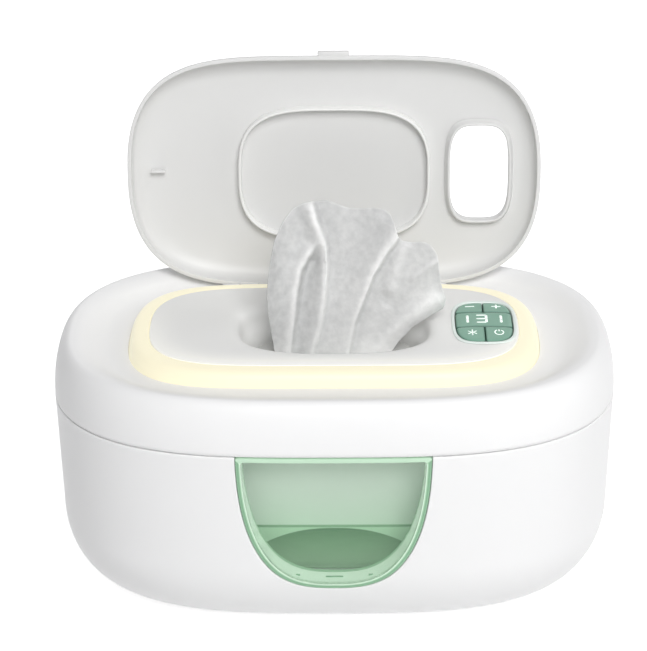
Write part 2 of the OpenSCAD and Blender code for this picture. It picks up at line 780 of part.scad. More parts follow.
module chamber_seal() {
    color("#c9d2cc") placed()
    plate_ring(bin_ring(0, 0), bin_ring(2, 0), bin_top + 0.2, liner_z - bin_top - 0.2, mid_n + 16);
}

// The board of the light ring, with small lamps all round under the diffuser
ring_board_z = ring_seat_z - 6.4;
led_count = 16;
led_a = deck_a + 1;
led_b = deck_b + 1;
function on_oval(t, a, b) = [a * spow(cos(t), 2 / ring_px), b * spow(sin(t), 2 / ring_py)];
led_angles = [for (i = [0:led_count - 1]) 360 * (i + 0.5) / led_count];
led_posts = [for (t = [22.5, 67.5, 112.5, 157.5, 202.5, 247.5, 292.5, 337.5]) on_oval(t, led_a, led_b)];
module ring_board() {
    color("#f2f4f0") placed()
    plate_ring(deck_ring(-3.6, 0), deck_ring(2.2, 0), ring_board_z, 1.4, mid_n + 16);
}
module ring_leds() {
    color("#ffe9a0") placed()
    for (t = led_angles)
        let (p = on_oval(t, led_a, led_b))
        translate([p[0] - 1.4, p[1] - 1.4, ring_board_z + 1.4])
            cube([2.8, 2.8, 1]);
}

// Electronics under the keypad: board, four switches and a three-digit display
control_posts = [for (x = [-8.6, 8.4]) for (y = [-18, 16]) [pad_x + x, pad_y + y]];
key_xs = [-pad_w * 0.24, pad_w * 0.24];
back_key_y = pad_y + pad_d / 2 - back_row / 2 - 0.6;
front_key_y = pad_y - pad_d / 2 + front_row / 2 + 0.4;
switch_h = 3;
module control_board() {
    color("#2c6b4a") placed()
    translate([pad_x - pad_w / 2 + 1.1, pad_y - pad_d / 2 + 1.1, control_z])
        cube([pad_w - 2.2, pad_d - 2.2, board_t]);
}
module key_switches() {
    color("#3a3d40") placed()
    for (x = key_xs)
        for (y = [back_key_y, front_key_y])
            translate([pad_x + x, y, control_top]) {
                translate([-2.6, -2.6, 0])
                    cube([5.2, 5.2, switch_h - 0.6]);
                cylinder(r = 1.3, h = switch_h, $fn = turn_n);
            }
}
module display_module() {
    y0 = groove_front + 1.2;
    color("#1d2022") placed()
    translate([pad_x - pad_w / 2 + 2.1, y0, control_top])
        cube([pad_w - 4.2, groove_back - groove_front - 2.4, pad_top - 2.6 - control_top]);
}

// The keypad: an oval pad cut by two grooves across and one along, in a pale bezel
bezel_neck = 1;
module pad_plate(e, z, t) {
    translate([pad_x, pad_y, z])
        linear_extrude(height = t)
            polygon(oval(pad_w / 2 + e, pad_d / 2 + e, pad_p, pad_p, mid_n));
}
module keypad_bezel() {
    color("#e6f1ea") placed()
    difference() {
        union() {
            pad_plate(bezel_neck - 0.1, deck_z - 3.4, 3.5);
            pad_plate(bezel_out, deck_z, bezel_t);
        }
        pad_plate(key_gap - 0.1, deck_z - 5, 8);
    }
}
// A part of the pad between two depths, and right or left of its middle, with a chamfered top edge
module pad_part(y0, y1, side, z, t) {
    half = key_gap / 2;
    x0 = side > 0 ? half : -pad_w;
    x1 = side < 0 ? -half : pad_w;
    intersection() {
        union() {
            pad_plate(-0.1, z, t - 0.5);
            pad_plate(-0.6, z, t);
        }
        translate([pad_x + x0, y0, z - 1])
            cube([x1 - x0, y1 - y0, t + 2]);
    }
}
key_t = 2.8;
module key(y0, y1, side, y_stem) {
    z = pad_top - key_t;
    pad_part(y0, y1, side, z, key_t);
    translate([pad_x + side * key_xs[1], y_stem, control_top + switch_h + key_travel + 0.2])
        cylinder(r = 1.5, h = z - control_top - switch_h - key_travel, $fn = turn_n);
}
pad_back = pad_y + pad_d / 2 + 1;
pad_front = pad_y - pad_d / 2 - 1;
module display_lens() {
    color("#7da893") placed()
    pad_part(groove_front + key_gap / 2, groove_back - key_gap / 2, 0, pad_top - 2.6, 2.6);
}
module key_minus() {
    color("#84ae9a") placed()
    key(groove_back + key_gap / 2, pad_back, -1, back_key_y);
}
module key_plus() {
    color("#84ae9a") placed()
    key(groove_back + key_gap / 2, pad_back, 1, back_key_y);
}
module key_light() {
    color("#84ae9a") placed()
    key(pad_front, groove_front - key_gap / 2, -1, front_key_y);
}
module key_power() {
    color("#84ae9a") placed()
    key(pad_front, groove_front - key_gap / 2, 1, front_key_y);
}

module cover_screws() {
    color("#b9bcc0") placed()
    for (p = cover_boss)
        translate([p[0], p[1], liner_z - 1.4]) {
            cylinder(r = 2.6, h = 1.4, $fn = turn_n);
            cylinder(r = screw_r, h = 9, $fn = turn_n);
        }
}

module lid_hinge_pins() {
    color("#c9ccd0") placed()
    for (s = [-1, 1])
        translate([s * lid_hinge_x - lid_hinge_w / 2 + 0.5, lid_hinge_y, lid_hinge_z])
            rotate([0, 90, 0])
                cylinder(r = lid_pin_r, h = lid_hinge_w - 1, $fn = turn_n);
}

// One moist wipe that stands up out of the mouth, as a closed soft form
function wipe_ring(w, t, x, h) =
    [wipe_w / 2 * w, wipe_t / 2 * t, 2.6, 2, deck_z + wipe_h * h, wipe_w * x, 0];
module wipe() {
    z0 = insert_z - 1;
    a = slot_w / 2 - fit;
    b = slot_d / 2 - fit;
    color("#f7f7f5") placed()
    loft([[a, b, 3, 2.2, z0, 0, 0], [a, b, 3, 2.2, throat_z + 1, 0, 0],
          wipe_ring(0.85, 0.89, 0.05, 0.02), wipe_ring(1, 1, 0.12, 0.15), wipe_ring(0.98, 1, 0.115, 0.32),
          wipe_ring(0.94, 0.94, 0.12, 0.53), wipe_ring(0.81, 0.89, 0.085, 0.67),
          wipe_ring(0.66, 0.78, 0.026, 0.75), wipe_ring(0.58, 0.67, 0.032, 0.87),
          wipe_ring(0.49, 0.44, 0.026, 0.95), wipe_ring(0.18, 0.22, -0.05, 1)], 24);
}

// The flip lid is drawn closed and then swung open about its hinge
module swing_open() {
    translate([0, lid_hinge_y, lid_hinge_z])
        rotate([-lid_open, 0, 0])
            translate([0, -lid_hinge_y, -lid_hinge_z])
                children();
}
lid_window_out = 0.7;
module lid_dish() {
    loft([lid_ring(0, lid_rim_z), lid_ring(0.2, lid_rim_z + lid_h * 0.28),
          lid_ring(1.2, lid_rim_z + lid_h * 0.52), lid_ring(3.4, lid_rim_z + lid_h * 0.72),
          lid_ring(7.2, lid_rim_z + lid_h * 0.87), lid_ring(14, lid_rim_z + lid_h * 0.96),
          lid_ring(34, lid_top)], big_n);
}
module lid_hollow() {
    t = lid_wall;
    loft([lid_ring(t, lid_rim_z - 1), lid_ring(t + 0.1, lid_rim_z + lid_h * 0.25),
          lid_ring(t + 1.3, lid_rim_z + lid_h * 0.48), lid_ring(t + 3.6, lid_rim_z + lid_h * 0.66),
          lid_ring(t + 8, lid_inner - 0.3), lid_ring(t + 16, lid_inner)], big_n);
}
module lid() {
    color("#f6f6f4") placed()
    swing_open()
    difference() {
        union() {
            difference() {
                union() {
                    lid_dish();
                    lift_tab();
                }
                lid_hollow();
            }
            intersection() {
                lid_dish();
                union() {
                    pad_plate(lid_window_out + 1.2, deck_z + bezel_t + 0.5, 6);
                    closing_fin();
                }
            }
            for (s = [-1, 1])
                translate([s * lid_hinge_x, 0, 0])
                    lid_lug();
        }
        pad_plate(lid_window_out, deck_z - 3, 20);
        for (s = [-1, 1])
            translate([s * lid_hinge_x, 0, 0])
                lid_lug_cuts();
    }
}
// A finger tab at the front edge, and a small fin inside the left end
module lift_tab() {
    tab_w = 14.4;
    translate([-tab_w / 2, -lid_b - 2, lid_rim_z + 0.8])
        cube([tab_w, 4, 2.6]);
}
module closing_fin() {
    translate([-deck_a - 2, 0, deck_z + 0.8])
        cube([6.6, 1.2, 6]);
}
// The lug that the pin passes through, and room in the rim for the barrels on both sides of it
module lid_lug() {
    translate([-lug_w / 2, 0, 0])
        rotate([90, 0, 90])
            linear_extrude(height = lug_w) {
                translate([lid_hinge_y, lid_hinge_z])
                    circle(r = lid_barrel_r, $fn = turn_n);
                polygon([[lid_b - 2, lid_rim_z], [lid_hinge_y, lid_hinge_z],
                         [lid_hinge_y + 2.2, lid_hinge_z + 0.8], [lid_b - 0.3, lid_rim_z + 4.6],
                         [lid_b - 2, lid_rim_z + 4.6]]);
            }
}
module lid_lug_cuts() {
    side = (lid_hinge_w - lug_w) / 2 + 0.4;
    translate([-lid_hinge_w / 2, lid_hinge_y, lid_hinge_z])
        rotate([0, 90, 0])
            cylinder(r = lid_pin_r + turn_play, h = lid_hinge_w, $fn = turn_n);
    for (x = [-lid_hinge_w / 2 - 0.4, lug_w / 2])
        translate([x, lid_hinge_y, lid_hinge_z])
            rotate([0, 90, 0])
                cylinder(r = lid_barrel_r + 0.4, h = side, $fn = turn_n);
}

// A soft rib inside the lid that closes round the mouth, a little nearer to the hinge
rib_y = 2;
rib_wall = 1.2;
module lid_seal() {
    color("#f2f2f0") placed()
    swing_open()
    translate([0, rib_y, deck_z + 0.2])
        linear_extrude(height = lid_inner - deck_z - 0.2)
            difference() {
                polygon(oval(rib_a, rib_b, 3.4, 3, mid_n + 16));
                polygon(oval(rib_a - rib_wall, rib_b - rib_wall, 3.4, 3, mid_n + 16));
            }
}

base_shell();
base_plate();
rubber_feet();
base_screws();
window_lens();
window_gasket();
wipe_bin();
heater_plate();
heater_film();
insulation_pad();
thermal_cutoff();
thermistor();
main_board();
dc_jack();
cover_hinge_pin();
wipe_pack();
upper_shell();
light_ring();
top_deck();
dispensing_insert();
cover_liner();
chamber_seal();
ring_board();
ring_leds();
control_board();
key_switches();
display_module();
display_lens();
keypad_bezel();
cover_screws();
lid_hinge_pins();
wipe();
lid();
lid_seal();
key_minus();
key_plus();
key_light();
key_power();
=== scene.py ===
# %% [markdown]
# # A warmer for baby wipes
# The solids of this warmer come packed from its CAD source. Here they get their looks: each visible
# shell is worked out again as a smooth surface from the same plan curves, and each finish is a node
# material named for the plastic, silicone or cloth it stands for. Sizes are written in millimetres.

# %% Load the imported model
import math

import bpy
import numpy as np
from mathutils import Matrix, Vector


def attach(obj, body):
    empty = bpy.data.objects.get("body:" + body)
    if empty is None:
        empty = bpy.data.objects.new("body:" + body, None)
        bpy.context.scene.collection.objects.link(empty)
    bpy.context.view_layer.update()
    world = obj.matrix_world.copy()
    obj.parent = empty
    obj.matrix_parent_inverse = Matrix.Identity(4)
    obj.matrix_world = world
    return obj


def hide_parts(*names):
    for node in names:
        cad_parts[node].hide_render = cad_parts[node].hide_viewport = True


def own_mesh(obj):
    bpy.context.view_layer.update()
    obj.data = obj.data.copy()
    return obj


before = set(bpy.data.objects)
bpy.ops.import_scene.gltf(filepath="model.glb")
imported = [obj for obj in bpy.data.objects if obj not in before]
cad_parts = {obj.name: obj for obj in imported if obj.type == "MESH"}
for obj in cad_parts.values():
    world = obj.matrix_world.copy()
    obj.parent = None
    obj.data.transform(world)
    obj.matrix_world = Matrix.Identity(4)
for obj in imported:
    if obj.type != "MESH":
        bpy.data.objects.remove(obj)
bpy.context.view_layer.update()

MM = 0.001
MIDDLE_Y = 3.8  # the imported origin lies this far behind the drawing's own zero

# %% [markdown]
# ## The camera
# The photograph looks down at the front from about 23 degrees, from far away with a long lens, so the
# object shows little perspective. The camera turns a touch round the upright axis and rolls half a degree.

# %% Camera
PITCH, YAW, ROLL = 0.4081, -0.0116, -0.0085
DISTANCE, AIM_X, AIM_Z, LENS = 1251.1, -4.72, 113.18, 154.84

camera = bpy.data.objects.new("camera", bpy.data.cameras.new("camera"))
bpy.context.collection.objects.link(camera)
bpy.context.scene.camera = camera
heading = Matrix.Rotation(-YAW, 4, "Z")
back_off = Vector((AIM_X, -DISTANCE * math.cos(PITCH), AIM_Z + DISTANCE * math.sin(PITCH)))
place = heading @ back_off * MM - Vector((0, MIDDLE_Y * MM, 0))
camera.matrix_world = (Matrix.Translation(place) @ heading
                       @ Matrix.Rotation(math.pi / 2 - PITCH, 4, "X") @ Matrix.Rotation(ROLL, 4, "Z"))
camera.data.sensor_width, camera.data.lens, camera.data.clip_end = 36, LENS, 20
bpy.context.scene.view_settings.view_transform = "Standard"
print("camera at", np.round(place, 3))

# %% [markdown]
# ## Floor, lamps and sky
# The product stands in plain white. The floor is pale and takes a soft shadow, and what the camera sees
# of it is lifted to white with Is Camera Ray, so that no lamp has to burn out the white plastic.

# %% Colours and node helpers
def linear(code):
    """An sRGB hex colour as linear red, green, blue and alpha."""
    v = np.array([int(code[i:i + 2], 16) / 255 for i in (1, 3, 5)])
    v = np.where(v <= 0.04045, v / 12.92, ((v + 0.055) / 1.055) ** 2.4)
    return (*v.tolist(), 1.0)


def add(tree, kind, settings=None, **links):
    """Adds one shader node. A link is a node, whose first output it takes, a socket, a hex colour or a
    plain value. A name with a leading underscore is the input's number."""
    made = tree.nodes.new("ShaderNode" + kind)
    for name, value in (settings or {}).items():
        setattr(made, name, value)
    for name, value in links.items():
        socket = made.inputs[int(name[1:]) if name[0] == "_" else name.replace("_", " ")]
        value = value.outputs[0] if isinstance(value, bpy.types.Node) else value
        if isinstance(value, bpy.types.NodeSocket):
            tree.links.new(value, socket)
        else:
            socket.default_value = linear(value) if isinstance(value, str) else value
    return made


def calc(tree, operation, *values, clamp=False):
    """A sum or other operation on one to three numbers."""
    links = {f"_{i}": value for i, value in enumerate(values)}
    return add(tree, "Math", {"operation": operation, "use_clamp": clamp}, **links)


def mapped(tree, value, low, high, to_low=0.0, to_high=1.0, smooth=False):
    """A number taken from the range low to high to another range, straight or with soft ends."""
    kind = {"interpolation_type": "SMOOTHSTEP" if smooth else "LINEAR"}
    return add(tree, "MapRange", kind, Value=value, From_Min=low, From_Max=high, To_Min=to_low,
               To_Max=to_high)


def mix(tree, share, low, high):
    """A colour between two colours."""
    return add(tree, "Mix", {"data_type": "RGBA"}, Factor=share, _6=low, _7=high).outputs[2]


def share_of(tree, name):
    """The number that paint() gave each point of the piece under this name."""
    return add(tree, "Attribute", {"attribute_name": name}).outputs["Fac"]


def blank(name):
    """A material with nothing in it, and its tree."""
    made = bpy.data.materials.new(name)
    made.use_nodes = True
    made.node_tree.nodes.clear()
    return made, made.node_tree


def skinned(tree, **sockets):
    """Ends a material's tree in one Principled shader."""
    add(tree, "OutputMaterial", Surface=add(tree, "BsdfPrincipled", **sockets))


# %% Floor and backdrop
def seen_share(tree):
    """1 on camera, mirror and see-through rays, and 0 on the rays that light the object."""
    ray = add(tree, "LightPath").outputs
    both = calc(tree, "MAXIMUM", ray["Is Camera Ray"], ray["Is Transmission Ray"])
    return calc(tree, "MAXIMUM", both, ray["Is Glossy Ray"])


floor_paint, tree = blank("floor_matte_paper")
paper = add(tree, "BsdfDiffuse", Color="#ebebeb")
lift = add(tree, "Emission", Color="#ffffff", Strength=0.77)
lifted = add(tree, "AddShader", _0=paper, _1=lift)
add(tree, "OutputMaterial", Surface=add(tree, "MixShader", Fac=seen_share(tree), _1=paper, _2=lifted))

bpy.ops.mesh.primitive_plane_add(size=8)
floor = bpy.context.object
floor.name = "floor"
floor.data.materials.append(floor_paint)

# %% Sky and soft lamps
sky = bpy.data.worlds.new("studio")
bpy.context.scene.world = sky
sky.use_nodes = True
tree = sky.node_tree
tree.nodes.clear()
white = add(tree, "Background", Color="#ffffff", Strength=1.0)
soft = add(tree, "Background", Color="#fafafc", Strength=0.28)
add(tree, "OutputWorld", Surface=add(tree, "MixShader", Fac=seen_share(tree), _1=soft, _2=white))


def softbox(name, at, look_z, watts, size=0.9):
    """A square lamp at one point, in metres, that looks at a height above the origin."""
    lamp = bpy.data.lights.new(name, "AREA")
    lamp.shape, lamp.size, lamp.energy = "SQUARE", size, watts
    holder = bpy.data.objects.new(name, lamp)
    bpy.context.collection.objects.link(holder)
    aim = (Vector((0, 0, look_z)) - Vector(at)).to_track_quat("-Z", "Y")
    holder.matrix_world = Matrix.Translation(at) @ aim.to_matrix().to_4x4()
    return holder


softbox("softbox_front", (0.33, -1.38, 1.35), 0.09, 25.2)
softbox("softbox_right", (1.35, -0.3, 0.75), 0.1, 3)
softbox("softbox_back", (0.1, 1.5, 0.75), 0.12, 6).visible_glossy = False

# %% [markdown]
# ## Plan curves and lofts
# Every shell follows one kind of plan curve, |x/a|^p + |y/b|^q = 1. A ring is that curve at a height,
# written as five numbers (a, b, p, q, z), and a shell is a skin through a list of such rings. Sampling
# by polar angle spaces the points evenly, and rounding the corners of the list gives the mould's radii.

# %% Plan curves
COLUMNS, HALVINGS = 480, 48


def halved(is_inside, low, high):
    """Where inside ends between low and high, by halving the span again and again."""
    for _ in range(HALVINGS):
        middle = (low + high) / 2
        inside = is_inside(middle)
        low, high = np.where(inside, middle, low), np.where(inside, high, middle)
    return (low + high) / 2


def reach(a, b, p, q, angle, ox=0.0, oy=0.0):
    """How far a ray at an angle from the point (ox, oy) runs to |x/a|^p + |y/b|^q = 1."""
    a, b, p, q, angle = np.broadcast_arrays(a, b, p, q, angle)
    c, s = np.cos(angle), np.sin(angle)
    return halved(lambda r: np.abs((ox + r * c) / np.maximum(a, 1e-9)) ** p
                  + np.abs((oy + r * s) / np.maximum(b, 1e-9)) ** q < 1, np.zeros(angle.shape), 2.0 * (a + b))


def polar(n):
    """n angles from straight left round by the front, -90 degrees, and the right, 0."""
    return -math.pi + np.arange(n) * 2 * math.pi / n


def rings_to_grid(rings, n=COLUMNS):
    """Points (rings, n, 3) of rings (a, b, p, q, z), with an optional sixth and seventh shift in x and y."""
    rings = np.asarray(rings, float)
    angle = polar(n)[None, :]
    r = reach(rings[:, :1], rings[:, 1:2], rings[:, 2:3], rings[:, 3:4], angle)
    grid = np.stack([r * np.cos(angle), r * np.sin(angle), np.repeat(rings[:, 4:5], n, 1)], 2)
    if rings.shape[1] > 5:
        grid[..., 0] += rings[:, 5:6]
        grid[..., 1] += rings[:, 6:7]
    return grid


def soften(rings, radius, steps=5, closed=False):
    """Rounds each corner of a list of rings: a quadratic curve from radius before it to radius after it.
    Distances are taken in the plane of depth and height. radius is one number or one per ring."""
    rings = np.asarray(rings, float)
    m = len(rings)
    radius = np.broadcast_to(radius, m)
    out = []
    for i in range(m):
        if not closed and i in (0, m - 1) or radius[i] <= 0:
            out.append(rings[i][None])
            continue
        a, c, b = rings[i - 1], rings[i], rings[(i + 1) % m]
        la, lb = [max(float(np.hypot(v[1] - c[1], v[4] - c[4])), 1e-6) for v in (a, b)]
        start = c + (a - c) * min(radius[i] / la, 0.48)
        end = c + (b - c) * min(radius[i] / lb, 0.48)
        t = np.linspace(0, 1, steps)[:, None]
        out.append((1 - t) ** 2 * start + 2 * t * (1 - t) * c + t ** 2 * end)
    return np.concatenate(out)


def refine(rings, step):
    """Adds rings between neighbours so that none lie further than step apart in depth and height."""
    out = [rings[:1]]
    for a, b in zip(rings[:-1], rings[1:]):
        k = max(1, math.ceil(float(np.hypot(b[1] - a[1], b[4] - a[4])) / step))
        t = np.arange(1, k + 1)[:, None] / k
        out.append(a + (b - a) * t)
    return np.concatenate(out)


# %% Meshes from grids
def border_of(grid, block):
    """The numbers of a grid's points on a block's border, anticlockwise from outside. The border is open
    where the block ends at the grid's last row."""
    i0, i1, j0, j1 = block
    index = np.arange(grid.shape[0] * grid.shape[1]).reshape(grid.shape[:2])
    bottom, right, left = index[i0, j0:j1 + 1], index[i0 + 1:i1 + 1, j1], index[i0 + 1:i1 + 1, j0][::-1]
    if i1 < len(grid) - 1:
        return np.concatenate([bottom, right, index[i1, j0:j1][::-1], left[1:]])
    return np.concatenate([left, bottom, right])


def weave(grid, close_u=True, close_v=False, caps=(False, False), block=None, patch=None):
    """Points, quads and triangles of a grid (rows, columns, 3). caps close the first or last row with a
    middle point. block (i0, i1, j0, j1) leaves those faces out, and patch, rings that start on the
    block's border and are walked the same way, fills the gap as far as it goes."""
    rows, cols = grid.shape[:2]
    i, j = np.meshgrid(np.arange(rows if close_v else rows - 1), np.arange(cols if close_u else cols - 1),
                       indexing="ij")
    if block:
        i0, i1, j0, j1 = block
        keep = ~((i >= i0) & (i < i1) & (j >= j0) & (j < j1))
        i, j = i[keep], j[keep]
    i, j = i.ravel(), j.ravel()
    i2, j2 = (i + 1) % rows, (j + 1) % cols
    quads = [np.stack([i * cols + j, i * cols + j2, i2 * cols + j2, i2 * cols + j], 1)]
    points = grid.reshape(-1, 3)
    if block:
        k, n = patch.shape[:2]
        more = len(points) + np.arange((k - 1) * n).reshape(k - 1, n)
        loops = np.concatenate([border_of(grid, block)[None], more])
        points = np.concatenate([points, patch[1:].reshape(-1, 3)])
        u = np.arange(n if i1 < rows - 1 else n - 1)
        quads += [np.stack([a[u], a[(u + 1) % n], b[(u + 1) % n], b[u]], 1)
                  for a, b in zip(loops[:-1], loops[1:])]
    triangles = [np.zeros((0, 3), int)]
    for cap, row in ((caps[0], 0), (caps[1], rows - 1)):
        if cap:
            a = row * cols + np.arange(cols)
            b, middle = np.roll(a, -1), np.full(cols, len(points))
            triangles.append(np.stack([a, b, middle] if row else [b, a, middle], 1))
            points = np.concatenate([points, grid[row].mean(0)[None]])
    return points, np.concatenate(quads), np.concatenate(triangles)


def joined(parts):
    """Several (points, quads, triangles) as one, with the numbers moved along."""
    starts = np.cumsum([0] + [len(points) for points, _, _ in parts])
    points, *faces = zip(*parts)
    return np.concatenate(points), *(np.concatenate([f + k for f, k in zip(kind, starts)]) for kind in faces)


def piece(name, shape, material, body, nodes=(), sharp=0, flip=False):
    """A smooth-shaded piece from a shape, which is whole arrays of points in mm, quads and triangles. It
    gets its material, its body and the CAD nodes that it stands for. Edges over sharp degrees
    stay crisp, and flip turns the faces over."""
    points, *faces = shape
    quads, triangles = [kind[:, ::-1] if flip else kind for kind in faces]
    mesh = bpy.data.meshes.new(name)
    mesh.from_pydata((points - [0, MIDDLE_Y, 0]) * MM, [], quads.tolist() + triangles.tolist(),
                     shade_flat=False)
    mesh.validate()
    mesh.materials.append(material)
    if sharp:
        mesh.set_sharp_from_angle(angle=math.radians(sharp))
    made = bpy.data.objects.new(name, mesh)
    bpy.context.collection.objects.link(made)
    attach(made, body)
    if nodes:
        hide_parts(*nodes)
    print(name, len(mesh.polygons), "faces on", body)
    return made


def paint(made, name, values):
    """Gives each point of a piece a number, which its material reads as an attribute."""
    layer = made.data.attributes.new(name, "FLOAT", "POINT")
    layer.data.foreach_set("value", np.asarray(values, np.float32).ravel())


def thicken(made, thickness, offset=-1):
    """Gives an open skin its wall, inwards, or with offset 0 to both sides."""
    wall = made.modifiers.new("wall", "SOLIDIFY")
    wall.thickness, wall.offset = thickness * MM, offset


def round_edges(made, width, segments, angle=30):
    """Rounds the edges of a piece that turn by more than an angle."""
    edge = made.modifiers.new("edge", "BEVEL")
    edge.width, edge.segments, edge.limit_method = width * MM, segments, "ANGLE"
    edge.angle_limit = math.radians(angle)


# %% Small moulded forms
def brick(x0, x1, y0, y1, z0, z1):
    """The corners and faces of a block, for a small moulded feature that a bevel rounds."""
    corners = np.stack(np.meshgrid([x0, x1], [y0, y1], [z0, z1], indexing="ij"), -1).reshape(-1, 3)
    quads = [[0, 1, 3, 2], [4, 6, 7, 5], [0, 4, 5, 1], [2, 3, 7, 6], [0, 2, 6, 4], [1, 5, 7, 3]]
    return corners, np.array(quads), np.zeros((0, 3), int)


def barrel(x0, length, r, y, z, n=64):
    """A turned barrel along X with softened ends, from rows of distance and radius."""
    end = [(0, r - 0.3), (0.1, r - 0.1), (0.3, r)]
    rows = np.array(end + [(length - x, radius) for x, radius in end[::-1]])
    across = np.broadcast_to(x0 + rows[:, :1], (len(rows), n))
    out = rows[:, 1:]
    return weave(np.stack([across, y + out * np.cos(polar(n)), z + out * np.sin(polar(n))], 2),
                 caps=(True, True))


def prism(outline, x0, x1):
    """An outline in (y, z), anticlockwise, carried along X from x0 to x1, with flat ends."""
    rows = [np.insert(np.array(outline, float), 0, x, axis=1) for x in (x0, x1)]
    return weave(np.stack(rows), caps=(True, True))


# %% [markdown]
# ## Finishes
# The housing is injection-moulded ABS with a fine satin grain, the diffuser a milky acrylic lit from
# below, the window a clear tinted styrene, the keys a painted rubber and the wipe a moist spunlace cloth.

# %% Moulded plastics
GLOSS_WAVE = 45


def moulded(name, colour, roughness, grain=0.5, depth=0.02, **more):
    """A moulded plastic: one colour, a fine grain in the surface (grain in mm, depth in mm) and slight
    unevenness in its gloss, as a mould that was textured and then polished by use gives it."""
    made, tree = blank(name)
    where = add(tree, "TexCoord").outputs["Object"]
    speck = add(tree, "TexNoise", Vector=where, Scale=1 / (grain * MM), Detail=2.0)
    waves = add(tree, "TexNoise", Vector=where, Scale=1 / (GLOSS_WAVE * MM), Detail=2.0)
    gloss = mapped(tree, waves, 0, 1, roughness * 0.92, roughness * 1.08)
    bump = add(tree, "Bump", Strength=0.3, Distance=depth * MM, Height=speck)
    skinned(tree, Base_Color=colour, Roughness=gloss, IOR=1.53, Normal=bump, **more)
    return made


white_abs = moulded("abs_white_satin_moulded", "#f2f2f2", 0.4, Specular_IOR_Level=0.3)
# The lid is the same white ABS, painted a shade greyer: painted shade.
lid_abs_painted_shade = moulded("abs_white_lid_painted_shade", "#dddddc", 0.36, Specular_IOR_Level=0.35)
deck_abs = moulded("abs_pale_grey_deck_painted_glow", "#efefed", 0.45, Specular_IOR_Level=0.3)
bin_pp = moulded("polypropylene_white_bin_moulded", "#e4e9e6", 0.4)
foot_rubber = moulded("rubber_pale_grey_foot", "#cfcfcd", 0.7)
board_epoxy = moulded("epoxy_glass_board_green", "#2c6b4a", 0.5)
black_nylon = moulded("nylon_black_moulded", "#232527", 0.45)
silicone_grey = moulded("silicone_grey_membrane", "#c4c4c1", 0.5)
silicone_white = moulded("silicone_white_seal", "#ededeb", 0.45)
silicone_mint = moulded("silicone_mint_gasket", "#a5cdab", 0.45)
bezel_abs = moulded("abs_mint_white_bezel", "#e9f3ee", 0.3)
steel = moulded("steel_zinc_plated", "#b9bcc0", 0.35, Metallic=1.0)

# %% Painted glow on the deck
def paint_deck_glow(material, a, b, p, q, strength):
    """Paints a glow into a deck: it grows towards the edge as |x/a|^p + |y/b|^q does,
    and is stronger in front. It is painted light that stands in for the ring's light on the deck."""
    tree = material.node_tree
    where = add(tree, "SeparateXYZ", Vector=add(tree, "TexCoord").outputs["Object"]).outputs
    terms = []
    for axis, shift, half, power in (("X", 0.0, a, p), ("Y", MIDDLE_Y, b, q)):
        share = calc(tree, "DIVIDE", calc(tree, "ADD", where[axis], shift * MM), half * MM)
        terms.append(calc(tree, "POWER", calc(tree, "ABSOLUTE", share), power))
    near = mapped(tree, calc(tree, "ADD", *terms), 0.25, 1, smooth=True)
    front = mapped(tree, where["Y"], -b * MM, b * 0.6 * MM, strength, 0.0)
    skin = tree.nodes["Principled BSDF"].inputs
    skin["Emission Color"].default_value = linear("#fffbe8")
    tree.links.new(calc(tree, "MULTIPLY", near, front).outputs[0], skin["Emission Strength"])


DECK_A, DECK_B, RING_P, RING_Q = 82.6, 44.1, 5.0, 2.75
# The deck's edge gets a painted glow, strongest in front.
paint_deck_glow(deck_abs, DECK_A, DECK_B, RING_P, RING_Q, 0.2)

# %% Diffuser and window
diffuser, tree = blank("acrylic_milky_diffuser_lit")
skinned(tree, Base_Color="#cfc6a9", Roughness=0.4, IOR=1.49, Specular_IOR_Level=0.3,
        Emission_Color="#fffde6", Emission_Strength=0.43)

window_green, tree = blank("styrene_clear_green_pane")
skinned(tree, Base_Color="#a9cdb0", Roughness=0.06, IOR=1.5, Alpha=0.13, Specular_IOR_Level=0.25)

# The rim's colours are painted light: darkest at its outer corner, lighter inwards, with a painted glow that
# grows inwards.
window_rim_painted_glow, tree = blank("styrene_green_rim_painted_glow")
painted_glow_share = share_of(tree, "painted_glow_share")
tone = add(tree, "ValToRGB", Fac=painted_glow_share)
tones = [(0.0, "#5f8a69"), (1.0, "#d4e8d6"), (0.2, "#8db696"), (0.4, "#74a07e"), (0.6, "#93bb9a")]
for k, (place_at, code) in enumerate(tones):
    stop = tone.color_ramp.elements[k] if k < 2 else tone.color_ramp.elements.new(place_at)
    stop.color = linear(code)
# The emission is a painted glow, from 0.06 at the outer corner to 0.27 inwards.
skinned(tree, Base_Color=tone, Roughness=0.15, IOR=1.5, Emission_Color=tone,
        Emission_Strength=mapped(tree, painted_glow_share, 0, 1, 0.06, 0.27))

# %% Keys and their signs
# A key's colour carries painted shade at its edge, where the grooves shade it.
key_green = moulded("rubber_painted_key_green", "#7fab97", 0.38, grain=0.35, depth=0.01)
tree = key_green.node_tree
groove_painted_shade = mix(tree, share_of(tree, "edge"), "#7fab97", "#2f5a4a")
tree.links.new(groove_painted_shade, tree.nodes["Principled BSDF"].inputs["Base Color"])

glyph_white, tree = blank("ink_white_backlit")
skinned(tree, Base_Color="#f4faf6", Roughness=0.5, Emission_Color="#eafff4", Emission_Strength=0.35)
print("materials:", len(bpy.data.materials))

# %% [markdown]
# ## The tub
# A rounded tub with a wide clear window in its front. The skin is a loft of plan curves whose inset
# grows down the rounded bottom. Round the window the grid gives way to rays from the middle of the
# window's top edge: each runs from the grid to the window's outline, so the moulded edge stays crisp.

# %% Tub sizes
BODY_A, BODY_B, BODY_P, BODY_Q = 125.0, 86.5, 3.2, 2.4
SEAM_Z, SEAM_GAP, WALL = 89.3, 0.6, 2.6
FOOT_H, CURVE_H, CURVE_IN, DRAFT = 1.5, 36.0, 30.0, 2.0
TUB_RIM, COVER_RIM = SEAM_Z - SEAM_GAP / 2, SEAM_Z + SEAM_GAP / 2


